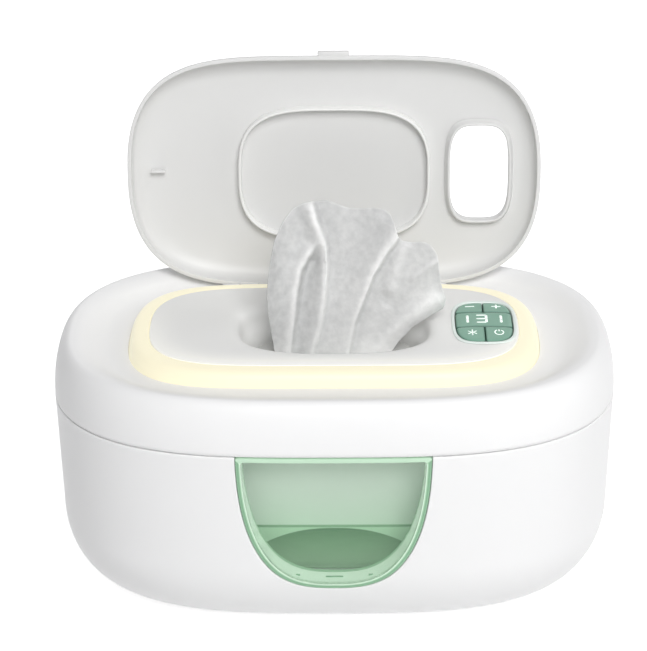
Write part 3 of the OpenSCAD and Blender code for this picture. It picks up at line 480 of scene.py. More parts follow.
def plan_of(a, b, p, q, *shift):
    """Rings of one plan curve, as a function of how far they are drawn in and of their height."""
    return lambda inset, z: [a - inset, b - inset, p, q, z, *shift]


body_ring = plan_of(BODY_A, BODY_B, BODY_P, BODY_Q)


def tub_inset(z):
    """The inset of the tub's skin at height z: a straight draft above CURVE_H, a quarter ellipse below."""
    z = np.asarray(z, float)
    s = 1 - np.clip(z - FOOT_H, 0, None) / (CURVE_H - FOOT_H)
    low = DRAFT + (CURVE_IN - DRAFT) * (1 - np.sqrt(np.clip(1 - s * s, 0, 1)))
    return np.where(z >= CURVE_H, DRAFT * (TUB_RIM - z) / (TUB_RIM - CURVE_H), low)


def tub_depth(x, z, inset=0.0):
    """Half the tub's depth at (x, z), from its plan curve."""
    a, b = BODY_A - tub_inset(z) - inset, BODY_B - tub_inset(z) - inset
    return b * np.clip(1 - np.abs(x / a) ** BODY_P, 0, 1) ** (1 / BODY_Q)


# %% The window's outline
WINDOW_A, WINDOW_P, WINDOW_Z, WINDOW_MID = 42.1, 2.7, 25.0, SEAM_Z + 9.7


def window_reach(angle, oz, inset=0.0):
    """From (0, oz) along an angle, how far the window's outline is: a wide rounded U below oz."""
    return reach(WINDOW_A - inset, WINDOW_MID - WINDOW_Z - inset, WINDOW_P, WINDOW_P, angle, 0.0,
                 oz - WINDOW_MID)


def rays_to(border, outline, steps, power=1.0):
    """Rings of points from a border to an outline, both (n, 2), with steps spans between them."""
    t = (np.linspace(0, 1, steps + 1) ** power)[:, None, None]
    return border + (outline - border) * t


def opening(grid, first, last, column, half):
    """A block of a grid to leave out, from one row to another and half columns to each side of one, and
    the points of its border."""
    block = (first, last, column - half, column + half)
    return block, grid.reshape(-1, 3)[border_of(grid, block)]


# %% Tub
FRONT, RIGHT = COLUMNS // 4, COLUMNS // 2
BLOCK_LOW, BLOCK_HALF = 17.0, 42
curve = FOOT_H + (CURVE_H - FOOT_H) * (1 - np.sin(np.radians(np.linspace(90, 0, 30))))
heights = np.concatenate([curve, np.linspace(CURVE_H, TUB_RIM, 36)[1:]])
grid = rings_to_grid([body_ring(CURVE_IN + 2, FOOT_H)]
                     + [body_ring(float(tub_inset(z)), z) for z in heights])
first = int(np.searchsorted(grid[:, 0, 2], BLOCK_LOW))
block, edge = opening(grid, first, len(grid) - 1, FRONT, BLOCK_HALF)
angle = np.arctan2(edge[:, 2] - TUB_RIM, edge[:, 0])
angle = np.where(edge[:, 2] > TUB_RIM - 1e-6, np.where(edge[:, 0] < 0, -math.pi, 0.0), angle)
r = window_reach(angle, TUB_RIM)
outline = np.stack([r * np.cos(angle), TUB_RIM + r * np.sin(angle)], 1)
x, z = np.moveaxis(rays_to(edge[:, [0, 2]], outline, 14, 0.8), -1, 0)
patch = np.stack([x, -tub_depth(x, z), z], 2)
tub = piece("tub_shell", weave(grid, block=block, patch=patch), white_abs, "base", ["base_shell"])
thicken(tub, WALL)
round_edges(tub, 0.35, 2, 55)

# %% [markdown]
# ## The cover
# The cover's shoulder rises from the parting line, rolls over a crest and dips into a shallow recess
# that carries the light ring. Its plan changes from the tub's curve to the ring's squarer one, so the
# rings are blended between the two.

# %% Cover
SHOULDER_Z, CREST_Z, RECESS_Z = 112.9, 110.6, 106.6
CREST_IN, SHOULDER_IN, SHOULDER_H = 14.6, 7.6, 23.3
SHOULDER_P = 0.94  # a little fuller than a quarter ellipse, which has 1
RING_RUN, RING_GAP, RING_WALL = 8.8, 0.3, 3.6
DECK_Z, SEAT_Z, SHELF_Z, THROAT_Z = 113.4, 103.8, 109.4, 98.4
SEAT_T = 1.8
deck_ring = plan_of(DECK_A, DECK_B, RING_P, RING_Q)


def recess_ring(share, z):
    """Part of the way from the crest's curve to the light ring's seat."""
    c, r = np.array(body_ring(CREST_IN, z)), np.array(deck_ring(-RING_RUN - RING_GAP, z))
    return list(c + (r - c) * share)


t = np.radians(np.linspace(0, 90, 26))
shoulder = [body_ring(SHOULDER_IN * (1 - c ** SHOULDER_P), COVER_RIM + SHOULDER_H * s ** SHOULDER_P)
            for c, s in zip(np.cos(t).clip(0), np.sin(t))]
crest_run = soften([shoulder[-1], body_ring(11.1, SHOULDER_Z - 0.6), body_ring(CREST_IN, CREST_Z),
                    recess_ring(0.22, 108.6), recess_ring(0.5, 106.85), recess_ring(1, RECESS_Z)],
                   [0, 3, 2.2, 3, 4, 0], 6)
inside = [recess_ring(1, SEAT_Z), deck_ring(RING_WALL - RING_RUN, SEAT_Z),
          deck_ring(RING_WALL - RING_RUN, SEAT_Z - SEAT_T), recess_ring(0.9, SEAT_Z - SEAT_T),
          recess_ring(0.5, RECESS_Z - 2.2), recess_ring(0.14, CREST_Z - 4.2),
          body_ring(CREST_IN - 3.5, CREST_Z - 2.2), body_ring(SHOULDER_IN + 2, SHOULDER_Z - 4.4),
          body_ring(WALL + 2.2, COVER_RIM + SHOULDER_H * 0.58)]
lip = [body_ring(WALL, COVER_RIM), body_ring(0.35, COVER_RIM), body_ring(0.06, COVER_RIM + 0.25)]
rings = np.concatenate([lip, shoulder[1:], refine(crest_run, 1.2)[1:], inside])
piece("cover_shell", weave(rings_to_grid(rings), close_v=True), white_abs, "cover", ["upper_shell"],
      sharp=50)

# %% [markdown]
# ## Light ring and deck
# The diffuser is a band that slopes out from the deck's edge to the recess. The deck closes it on top:
# flat and satin, it rolls into the dispensing mouth and narrows down a short throat.

# %% Light ring
ring_rows = [(-RING_RUN, SEAT_Z), (-RING_RUN, RECESS_Z), (-RING_RUN * 0.95, RECESS_Z + 2.24),
             (-RING_RUN * 0.86, RECESS_Z + 4.28), (-RING_RUN * 0.72, RECESS_Z + 5.85),
             (-RING_RUN * 0.51, DECK_Z - 0.3), (0, DECK_Z - 0.1), (0, SHELF_Z), (2.4, SHELF_Z),
             (2.4, SHELF_Z - 1.5), (RING_WALL - RING_RUN, SEAT_Z + 1.4), (3.2 - RING_RUN, SEAT_Z)]
rings = soften([deck_ring(*row) for row in ring_rows],
               [0, 1.0, 1.2, 1.1, 1.1, 1.4, 0.2, 0, 0, 0, 0, 0], 7, closed=True)
piece("light_ring_diffuser", weave(rings_to_grid(rings), close_v=True), diffuser, "cover",
      ["light_ring"], sharp=50)

# %% The deck and its opening for the keypad
PAD_X, PAD_Y, PAD_A, PAD_B, PAD_P = 67.0, 2.0, 12.8, 22.0, 3.5
PAD_TOP, DECK_T = DECK_Z + 1.3, 1.8
DECK_GAP, PAD_CLEAR, PAD_BLOCK_X, PAD_BLOCK_HALF = 0.3, 1.0, 50.6, 37
pad_ring = plan_of(PAD_A, PAD_B, PAD_P, PAD_P, PAD_X, PAD_Y)
mouth_ring = plan_of(41.8, 27.0, 2.6, 2.6)


def pad_rays(edge, outset, steps):
    """Rings in the plane from a border round the pad to the pad's outline. Each point goes to the spot of
    the outline that is nearest to it, and such ways never cross, as the outline is convex."""
    outline = rings_to_grid([pad_ring(-outset, 0)], 12000)[0, :, :2]
    far = np.hypot(*(edge[:, None, :2] - outline[None]).transpose(2, 0, 1))
    return rays_to(edge[:, :2], outline[far.argmin(1)], steps)


mouth_rows = [(5.8, THROAT_Z), (0.8, DECK_Z - 6.2), (-0.1, DECK_Z - 3.6), (-1.3, DECK_Z - 1.7),
              (-3.6, DECK_Z - 0.5), (-7.4, DECK_Z)]
throat = soften([mouth_ring(*row) for row in mouth_rows] + [deck_ring(0.8, DECK_Z)],
                [0, 3, 1.2, 1.2, 1.5, 1.8, 0], 6)
flat = refine(throat[-2:], 0.8)[1:]
rim = soften([deck_ring(0.8, DECK_Z), deck_ring(0.35, DECK_Z), deck_ring(DECK_GAP, DECK_Z - 0.4),
              deck_ring(DECK_GAP, SHELF_Z)], [0, 0.3, 0.3, 0], 4)[1:]
grid = rings_to_grid(np.concatenate([throat[:-1], flat, rim]))
last = len(grid) - len(rim) - 1
first = int(np.searchsorted(grid[:last + 1, RIGHT, 0], PAD_BLOCK_X))
block, edge = opening(grid, first, last, RIGHT, PAD_BLOCK_HALF)
plan = pad_rays(edge, PAD_CLEAR, 6)
settle = np.linspace(1, 0, len(plan))[:, None] ** 3
patch = np.dstack([plan, DECK_Z + (edge[:, 2] - DECK_Z) * settle])
thicken(piece("top_deck_panel", weave(grid, block=block, patch=patch), deck_abs, "cover", ["top_deck"],
              flip=True), DECK_T)

# %% [markdown]
# ## The flip lid
# The lid is a shallow dish that stands open on its two hinges. It is worked out closed, over the deck,
# and then swung back about the hinge with everything that is moulded on it: the lip round the keypad's
# window, the finger tab, the small fin and the two hinge lugs.

# %% Lid profile
LID_A, LID_B, LID_P, LID_Q = 95.1, 55.1, 4.5, 2.5
LID_RIM, LID_H, LID_WALL = 109.6, 11.0, 1.8
HINGE_Y, HINGE_Z, LID_OPEN = 55.6, 107.6, math.radians(94)
lid_ring = plan_of(LID_A, LID_B, LID_P, LID_Q)


def swing(shape):
    """A shape of the closed lid, turned back to where it stands open."""
    points, *faces = shape
    c, s = math.cos(LID_OPEN), math.sin(LID_OPEN)
    x, y, z = (points - [0, HINGE_Y, HINGE_Z]).T
    return np.stack([x, HINGE_Y + y * c + z * s, HINGE_Z - y * s + z * c], 1), *faces


lid_rows = [(0, 0), (0.2, 3.1), (1.2, 5.8), (3.4, 7.9), (7.2, 9.6), (14, 10.6), (34, LID_H)]
profile = soften([lid_ring(inset, LID_RIM + up) for inset, up in lid_rows],
                 [0, 1.5, 1.3, 1.5, 2.5, 4, 0], 7)
insets, rises = LID_A - profile[:, 0], profile[:, 4]


def lid_height(x, y):
    """The lid's outer height over (x, y): the inset whose plan curve passes there, looked up in the
    profile."""
    inset = halved(lambda k: np.abs(x / (LID_A - k)) ** LID_P + np.abs(y / (LID_B - k)) ** LID_Q < 1,
                   np.zeros(x.shape), np.full(x.shape, 40.0))
    return np.interp(inset, insets, rises)


# %% Lid shell
# The rolled rim is a loft. The crown inside it shrinks towards the middle and takes its height from
# the profile.
ROLL_IN, LID_CLEAR, LID_BLOCK_FROM, LID_BLOCK_TO, LID_BLOCK_HALF = 10, 0.7, 83.0, 50.5, 36
rim = refine(profile, 1.2)
rim = rim[LID_A - rim[:, 0] <= ROLL_IN]
crown = np.outer(np.linspace(1, 0.02, 60)[1:], rim[-1])
crown[:, 2:4] = LID_P, LID_Q
grid = rings_to_grid(np.concatenate([rim, crown]))
inner = grid[len(rim):]
inner[..., 2] = lid_height(inner[..., 0], inner[..., 1])
first, last = [int(np.argmax(grid[:, RIGHT, 0] < x)) for x in (LID_BLOCK_FROM, LID_BLOCK_TO)]
block, edge = opening(grid, first, last, RIGHT, LID_BLOCK_HALF)
plan = pad_rays(edge, LID_CLEAR, 8)
patch = np.dstack([plan, lid_height(plan[..., 0], plan[..., 1])])
lid = piece("lid_shell", swing(weave(grid, block=block, patch=patch, caps=(False, True))), lid_abs_painted_shade,
            "lid", ["lid"])
thicken(lid, LID_WALL)
round_edges(lid, 0.55, 2, 55)

# %% Lip, tab, fin and lugs of the lid
LUG_W, HINGE_X, BARREL_R = 8.0, 40.0, 2.4
lip_rows = [(0.7, 118.2), (0.7, 115.0), (0.85, 114.6), (1.3, 114.5), (1.75, 114.6), (2.0, 115.0),
            (2.3, 117.2), (3.1, 118.2)]
lip_grid = rings_to_grid([pad_ring(-outset, z) for outset, z in lip_rows], 160)
piece("lid_window_lip", swing(weave(lip_grid, close_v=True)), lid_abs_painted_shade, "lid", sharp=60)

tab = brick(-7.2, 7.2, -LID_B - 2.0, -LID_B + 1.6, LID_RIM + 0.8, LID_RIM + 3.4)
fin = brick(-84.6, -78.0, 0, 1.2, 114.2, 118.0)
round_edges(piece("lid_tab_and_fin", swing(joined([tab, fin])), lid_abs_painted_shade, "lid"), 0.5, 3)

lug_side = [(LID_B - 2, LID_RIM), (HINGE_Y - 1.4, HINGE_Z - 1.9), (HINGE_Y + 0.8, HINGE_Z - 2.2),
            (HINGE_Y + 2.2, HINGE_Z + 0.8), (LID_B - 0.3, LID_RIM + 4.6), (LID_B - 2, LID_RIM + 4.6)]
lugs = []
for x0 in (-HINGE_X - LUG_W / 2, HINGE_X - LUG_W / 2):
    lugs += [prism(lug_side, x0, x0 + LUG_W), barrel(x0, LUG_W, BARREL_R, HINGE_Y, HINGE_Z)]
piece("lid_hinge_lugs", swing(joined(lugs)), lid_abs_painted_shade, "lid", sharp=35)

# %% Seal rib
rib_ring = plan_of(44.2, 31.5, 3.4, 3.0, 0.0, 2.0)
rib_rows = [(0, 118.6), (0, 114.2), (0.2, 113.75), (0.6, 113.6), (1.0, 113.75), (1.2, 114.2), (1.2, 118.6)]
rib_grid = rings_to_grid([rib_ring(inset, z) for inset, z in rib_rows[::-1]], 240)
piece("lid_seal_rib", swing(weave(rib_grid, close_v=True)), silicone_white, "lid", ["lid_seal"],
      sharp=60)

# %% [markdown]
# ## The window
# The window is one clear green moulding: a pane that follows the tub's front and a rim that runs back
# to the bin. The rim's bright mint band is painted light: a glow and lighter and darker tones painted
# on it, brightest inwards and along the top. It is built as a see-through pane and a milky rim, both closed
# solids.

# %% Window lens
LENS_T, LENS_BACK, LENS_GAP, LENS_Z, LENS_N = 2.2, -72.0, 0.25, 62.0, 360
CORNER_SHARP = 60.0


def lens_reach(angle, inset):
    """The closed outline of the lens from its middle (0, LENS_Z): the U of the window below, a straight
    top edge under the parting line, and small radii where they meet."""
    u_part = window_reach(angle, LENS_Z, inset + LENS_GAP)
    rise = np.maximum(np.sin(angle), 1e-3)
    top = np.where(rise > 1e-3, (TUB_RIM - 0.2 - inset * 0.8 - LENS_Z) / rise, 1e4)
    return (u_part ** -CORNER_SHARP + top ** -CORNER_SHARP) ** (-1 / CORNER_SHARP)


def lens_row(inset, share, skin_inset, back):
    """A ring of the lens: its outline drawn in by inset and scaled by share. It lies skin_inset behind
    the tub's skin where back is 0, and at the lens's back plane where back is 1."""
    angle = polar(LENS_N)
    r = lens_reach(angle, inset) * share
    x, z = r * np.cos(angle), LENS_Z + r * np.sin(angle)
    skin = -tub_depth(x, np.minimum(z, TUB_RIM), skin_inset)
    return np.stack([x, skin * (1 - back) + LENS_BACK * back, z], 1)


shares = np.linspace(0.02, 1, 26)
pane_rows = [lens_row(LENS_T, k, 0.25, 0) for k in shares]
pane_rows += [lens_row(LENS_T, k, LENS_T + 0.2, 0) for k in shares[::-1]]
piece("window_pane_green", weave(np.stack(pane_rows), caps=(True, True)), window_green, "base",
      ["window_lens"], sharp=50, flip=True)

# Each row: inset, inset behind the skin, share of the way back, and its share of painted glow and lightness.
rim_table = [(LENS_T, 0.2, 0, 1.0), (LENS_T * 0.5, 0.2, 0, 0.4), (0.35, 0.22, 0, 0.2), (0.1, 0.3, 0, 0.1),
             (0, 0.6, 0, 0.0)]
rim_table += [(0, 0.6, back, 0.2) for back in (0.2, 0.4, 0.6, 0.8, 0.97, 1)] + [(LENS_T, 0.6, 1, 0.2)]
rim_table += [(LENS_T, 0.6, back, 1.0) for back in (0.97, 0.8, 0.6, 0.4, 0.2, 0.05)]
rim_rows = [lens_row(inset, 1, behind, back) for inset, behind, back, _ in rim_table]
lens_rim = piece("window_rim_green", weave(np.stack(rim_rows), close_v=True), window_rim_painted_glow, "base",
                 sharp=50, flip=True)
# Along the top edge the rim gets painted glow and lightness nearly as strong as at its inner edge.
TOP_PAINTED_GLOW = 0.78
top_edge = np.sin(polar(LENS_N)) * lens_reach(polar(LENS_N), 0) > TUB_RIM - LENS_Z - 1.0
paint(lens_rim, "painted_glow_share", np.where(top_edge, TOP_PAINTED_GLOW, np.array([row[3:] for row in rim_table])))

# %% Snap ribs on the floor of the window's frame
ribs = [brick(x - half, x + half, y0, y0 + 1.0, z, z + 0.5) for x, half, y0, z in
        ((0, 3.8, -77.0, 27.3), (-16, 1.2, -79.5, 29.6), (16, 1.2, -79.5, 29.6))]
snap_ribs = piece("window_snap_ribs", joined(ribs), window_rim_painted_glow, "base")
round_edges(snap_ribs, 0.2, 3)
# The snap ribs take the rim's painted tones and glow at a middle share.
paint(snap_ribs, "painted_glow_share", np.full(len(snap_ribs.data.vertices), 0.4))

# %% [markdown]
# ## The pack behind the window
# A wrapped stack of wipes stands in the bin. Its film is a plain sage green with a lighter band below
# and a darker arched block, as plain colour fields without print. Its upper field is painted lighter
# towards the top with a faint painted glow: painted light where the cover shades the pack.

# %% Pack film
# Heights and widths in mm: the arched block, the thin line above it, and where the top face begins.
ARCH_HALF, ARCH_P, ARCH_TOP, ARCH_DROP = 36.0, 2.3, 42.2, 10.5
LINE_LOW, LINE_HIGH, LINE_SOFT, FACE_Z = 42.5, 43.7, 0.8, 76.2
pack_film, tree = blank("film_polyethylene_sage_wrap")
x, _, z = add(tree, "SeparateXYZ", Vector=add(tree, "TexCoord").outputs["Object"]).outputs


def step_at(value, edge, soft):
    """0 below an edge and 1 above it, over a soft width, both in mm."""
    return mapped(tree, value, (edge - soft / 2) * MM, (edge + soft / 2) * MM, smooth=True)


aside = calc(tree, "ABSOLUTE", calc(tree, "DIVIDE", x, ARCH_HALF * MM))
arch = calc(tree, "MULTIPLY_ADD", calc(tree, "POWER", aside, ARCH_P), -ARCH_DROP * MM, ARCH_TOP * MM)
above = step_at(z, LINE_HIGH, LINE_SOFT)
line = calc(tree, "SUBTRACT", step_at(z, LINE_LOW, LINE_SOFT), above)
in_block = mix(tree, mapped(tree, z, 18 * MM, 42 * MM), "#bfe4bf", "#2b6534")
# Painted light: the upper field lightens towards the top.
upper_painted_light = mix(tree, mapped(tree, z, 46 * MM, 72 * MM), "#d9ecdb", "#fbfdfa")
field = mix(tree, above, "#bce2c0", mix(tree, step_at(z, FACE_Z, 3.0), upper_painted_light, "#cfe4d2"))
over_arch = step_at(calc(tree, "SUBTRACT", z, arch), 0.0, 0.6)
film = mix(tree, over_arch, in_block, mix(tree, line, field, "#7da983"))
# The emission from 52 to 74 mm up is a painted glow on the upper field.
skinned(tree, Base_Color=film, Roughness=0.4, IOR=1.5, Emission_Color="#dcf0de",
        Emission_Strength=mapped(tree, z, 52 * MM, 74 * MM, 0.0, 0.1))

# %% Pack
pack_ring = plan_of(93.0, 54.0, 4.0, 4.0, 0.0, -5.0)
pack_rows = [(9, 17.5), (1.5, 23.5), (0, 33.5), (0, 66), (3, 75), (10, 78), (40, 78.4)]
rings = soften([pack_ring(*row) for row in pack_rows], [0, 3, 5, 5, 3, 3, 0], 6)
pack = piece("wipe_pack_wrapped", weave(rings_to_grid(rings, 240), caps=(True, True)), pack_film, "base",
             ["wipe_pack"], sharp=50)

# %% [markdown]
# ## The keypad
# Four painted rubber keys and a display band share one oval pad with a mint-white bezel. Each key's
# outline is the pad's curve cut by the grooves, and its top is slightly domed with a soft edge.

# %% Bezel
bezel_rows = [(0.2, 110.0), (0.9, 110.0), (0.9, 113.3), (1.7, 113.45), (1.7, 113.7), (1.55, 113.9),
              (1.3, 114.0), (0.7, 114.0), (0.35, 113.9), (0.2, 113.6)]
bezel_grid = rings_to_grid([pad_ring(-outset, z) for outset, z in bezel_rows], 200)
piece("keypad_bezel_rim", weave(bezel_grid, close_v=True), bezel_abs, "cover", ["keypad_bezel"],
      sharp=60)

# %% Keys and display band
GROOVE_BACK, GROOVE_FRONT, HALF_GAP = PAD_Y + 9.2, PAD_Y - 6.9, 0.2
KEY_N, KEY_GAP, KEY_CORNER = 160, 0.1, 20.0


def key_reach(cx, cy, lines, inset, angle):
    """From (cx, cy) along an angle, the nearest of the pad's curve and the groove lines, joined with
    small radii. A line is (nx, ny, d): the points with nx*x + ny*y = d."""
    drawn_in = KEY_GAP + inset
    oval = reach(PAD_A - drawn_in, PAD_B - drawn_in, PAD_P, PAD_P, angle, cx - PAD_X, cy - PAD_Y)
    total = oval ** -KEY_CORNER
    for nx, ny, d in lines:
        along = nx * np.cos(angle) + ny * np.sin(angle)
        away = (d - inset - (nx * cx + ny * cy)) / np.maximum(along, 1e-6)
        total = total + np.where(along > 1e-4, np.maximum(away, 1e-3), 1e3) ** -KEY_CORNER
    return total ** (-1 / KEY_CORNER)


def dome(x, y):
    """The pad's crown: highest in the middle, 1.1 mm lower at the rim, where it rolls over."""
    rho = np.abs((x - PAD_X) / PAD_A) ** PAD_P + np.abs((y - PAD_Y) / PAD_B) ** PAD_P
    rho = np.clip(rho, 0, 1)
    return PAD_TOP - 0.55 * rho ** 0.5 - 0.55 * rho ** 5


def key_piece(name, cx, cy, lines, body, node):
    """A key from rings: up its side, over a soft edge and on to its middle. Its colour gets
    painted shade at the edge."""
    angle = polar(KEY_N)
    # Each row of the side: inset, drop, and share of painted groove shade.
    side = [(0, 2.7, 1), (0, 0.75, 1), (0.08, 0.4, 1), (0.25, 0.17, 0.7), (0.55, 0.04, 0.15), (0.9, 0, 0)]
    rings = [(inset, drop, 1.0) for inset, drop, _ in side]
    rings += [(side[-1][0], 0, share) for share in np.linspace(1, 0.02, 8)[1:]]
    rows = []
    for inset, drop, share in rings:
        r = key_reach(cx, cy, lines, inset, angle) * share
        x, y = cx + r * np.cos(angle), cy + r * np.sin(angle)
        rows.append(np.stack([x, y, dome(x, y) - drop], 1))
    made = piece(name, weave(np.stack(rows), caps=(True, True)), key_green, body, [node], sharp=60)
    edge = [groove_shade_share for *_, groove_shade_share in side] + [0] * (len(rows) - len(side))
    paint(made, "edge", np.concatenate([np.repeat(edge, KEY_N), [1, 0]]))


behind, before = (0, -1, -(GROOVE_BACK + HALF_GAP)), (0, 1, GROOVE_FRONT - HALF_GAP)
left, right = (1, 0, PAD_X - HALF_GAP * 0.6), (-1, 0, -(PAD_X + HALF_GAP * 0.6))
for cy, groove, keys in ((PAD_Y + 16.5, behind, ("key_minus", "key_plus")),
                         (PAD_Y - 13.1, before, ("key_light", "key_power"))):
    for key, cx, side in zip(keys, (60.6, 73.2), (left, right)):
        key_piece(key + "_cap", cx, cy, (groove, side), key, key)
band_lines = [(0, 1, GROOVE_BACK - HALF_GAP), (0, -1, -(GROOVE_FRONT + HALF_GAP))]
key_piece("display_band", PAD_X, (GROOVE_BACK + GROOVE_FRONT) / 2, band_lines, "cover", "display_lens")

# %% Signs on the keys
SIGN_H, SIGN_T = 0.06, 0.15
SEGMENTS = {"a": ((-1, 1), (1, 1)), "b": ((1, 0), (1, 1)), "c": ((1, -1), (1, 0)),
            "d": ((-1, -1), (1, -1)), "g": ((-1, 0), (1, 0))}
DIGIT_HALF, DIGIT_GAP, DIGIT_PEN = (2.2, 3.95), 0.55, 1.2
BACK_Y, FRONT_Y, NUMBER_Y = PAD_Y + 16.2, PAD_Y - 13.2, PAD_Y + 1.6


def bar(p0, p1, width, n=8):
    """A flat bar with round ends from p0 to p1, as a closed outline."""
    p0, p1 = np.array(p0, float), np.array(p1, float)
    end = np.linspace(-math.pi / 2, math.pi / 2, n)
    a = math.atan2(*(p1 - p0)[::-1]) + np.concatenate([end, end + math.pi])
    return np.repeat([p1, p0], n, 0) + width / 2 * np.stack([np.cos(a), np.sin(a)], 1)


def arc(cx, cy, r, a0, a1, width, tall, n=28):
    """Part of a flat ring, as its inner and its outer edge, drawn out in y by tall."""
    a = np.radians(np.linspace(a0, a1, n))
    return np.stack([np.stack([cx + k * np.cos(a), cy + k * tall * np.sin(a)], 1)
                     for k in (r - width / 2, r + width / 2)])


def sign(name, body, *shapes):
    """Signs as thin raised shapes just above the dome: bars with a side all round, and flat arcs."""
    parts = []
    for flat in shapes:
        top = np.concatenate([flat, dome(flat[..., 0], flat[..., 1])[..., None] + SIGN_H], -1)
        parts.append(weave(np.stack([top - [0, 0, SIGN_T], top]), caps=(False, True))
                     if flat.ndim == 2 else weave(top, close_u=False))
    piece(name, joined(parts), glyph_white, body)


def digit(parts, cx):
    """A seven-part number round (cx, NUMBER_Y), from short bars with gaps between them."""
    for part in parts:
        p0, p1 = np.array(SEGMENTS[part]) * DIGIT_HALF + [cx, NUMBER_Y]
        gap = (p1 - p0) / np.hypot(*(p1 - p0)) * DIGIT_GAP
        yield bar(p0 + gap, p1 - gap, DIGIT_PEN)


ONE, THREE, LAMP_X, POWER_X = "bc", "abgcd", 61.35, 73.2
sign("sign_minus", "key_minus", bar((59.5, BACK_Y), (62.9, BACK_Y), 0.9))
sign("sign_plus", "key_plus", bar((71.4, BACK_Y), (74.8, BACK_Y), 0.9),
     bar((73.1, BACK_Y - 1.9), (73.1, BACK_Y + 1.9), 0.8))
rays = [bar((LAMP_X + 0.8 * math.cos(a), FRONT_Y + 0.8 * math.sin(a)),
            (LAMP_X + 2.0 * math.cos(a), FRONT_Y + 2.7 * math.sin(a)), 0.55)
        for a in np.radians(np.arange(30, 390, 60))]
sign("sign_light", "key_light", *rays, bar((61.3, FRONT_Y), (61.4, FRONT_Y), 0.9))
sign("sign_power", "key_power", bar((POWER_X, FRONT_Y + 1.3), (POWER_X, FRONT_Y + 2.7), 0.6),
     arc(POWER_X, FRONT_Y, 1.9, 118, 422, 0.6, 1.3))
sign("display_number", "cover", *digit(ONE, 57.5), *digit(THREE, 65.9), *digit(ONE, 72.5))

# %% [markdown]
# ## The wipe
# One moist wipe stands out of the mouth. It is a single sheet of spunlace cloth, gathered in the slot
# and fanned out above it in soft folds.

# %% Cloth finish
# Each point of the sheet carries painted light and shade: painted highlights on the folds' crests and
# painted shade in the hollows. A mottle of pressed fibre, a few mm wide, varies it.
cloth, tree = blank("cloth_spunlace_moist_white")
where = add(tree, "TexCoord").outputs["Object"]
dots = add(tree, "TexVoronoi", {"feature": "SMOOTH_F1"}, Vector=where, Scale=1 / (2.4 * MM))
fibre = add(tree, "TexNoise", Vector=where, Scale=1 / (0.9 * MM), Detail=4.0)
rough = calc(tree, "MULTIPLY_ADD", fibre, 0.6, dots)
bump = add(tree, "Bump", Strength=0.5, Distance=0.25 * MM, Height=rough)
mottle = add(tree, "TexNoise", Vector=where, Scale=1 / (3.2 * MM), Detail=4.0)
cloud = mapped(tree, mottle, 0.3, 0.7, -0.11, 0.11)
whiteness = calc(tree, "ADD", share_of(tree, "painted_fold_light"), cloud, clamp=True)
skinned(tree, Base_Color=mix(tree, whiteness, "#b2b3b3", "#f6f6f5"), Roughness=0.6, IOR=1.4,
        Subsurface_Weight=0.1, Subsurface_Radius=[2 * MM] * 3, Normal=bump)

# %% Outline of the wipe
# The sheet's free edge, from low on the left over the top to low on the right, and its right edge from
# the slot up, as points (x, z).
FREE_EDGE = np.array([
    (-29.2, 118.8), (-29.4, 126.6), (-29.1, 134.3), (-27.9, 143.9), (-26.0, 153.9), (-22.3, 163.3),
    (-17.8, 169.8), (-13.2, 172.2), (-9.6, 172.7), (-3.6, 173.7), (0.8, 172.3), (6.2, 169.9), (11.3, 169.5),
    (16.6, 169.8), (21.4, 169.6), (24.6, 167.5), (26.8, 162.1), (28.2, 155.8), (30.2, 153.5), (35.1, 152.9),
    (39.3, 153.4), (43.0, 151.4), (45.9, 146.9), (46.6, 139.7), (47.6, 133.0), (50.0, 125.8), (48.6, 121.4)])
RIGHT_EDGE = np.array([
    (22.5, 96.0), (25.1, 99.6), (29.2, 105.9), (34.8, 112.0), (41.7, 116.8), (48.6, 121.4)])
SLOT = np.array([(-26.0, 96.0), (22.5, 96.0)])


def along_path(path, s):
    """Points at shares s of a path's length."""
    run = np.concatenate([[0], np.cumsum(np.hypot(*np.diff(path, axis=0).T))])
    return np.stack([np.interp(s * run[-1], run, path[:, k]) for k in (0, 1)], -1)


def eased(path, n=400, reach_of=6):
    """A path with its corners rounded: points along it, each the mean of its neighbours."""
    line = along_path(path, np.linspace(0, 1, n))
    kernel = np.hanning(2 * reach_of + 3)[1:-1]
    padded = np.pad(line, ((reach_of, reach_of), (0, 0)), "reflect", reflect_type="odd")
    return np.stack([np.convolve(padded[:, k], kernel / kernel.sum(), "valid") for k in (0, 1)], -1)


S, T = np.meshgrid(np.linspace(0, 1, 270), np.linspace(0, 1, 150))
rise = T[..., None]
flatxz = along_path(SLOT, S) * (1 - rise) + along_path(eased(FREE_EDGE), S) * rise
straight = SLOT[1] + (RIGHT_EDGE[-1] - SLOT[1]) * rise
flatxz = flatxz + (along_path(RIGHT_EDGE, T) - straight) * S[..., None] ** 3

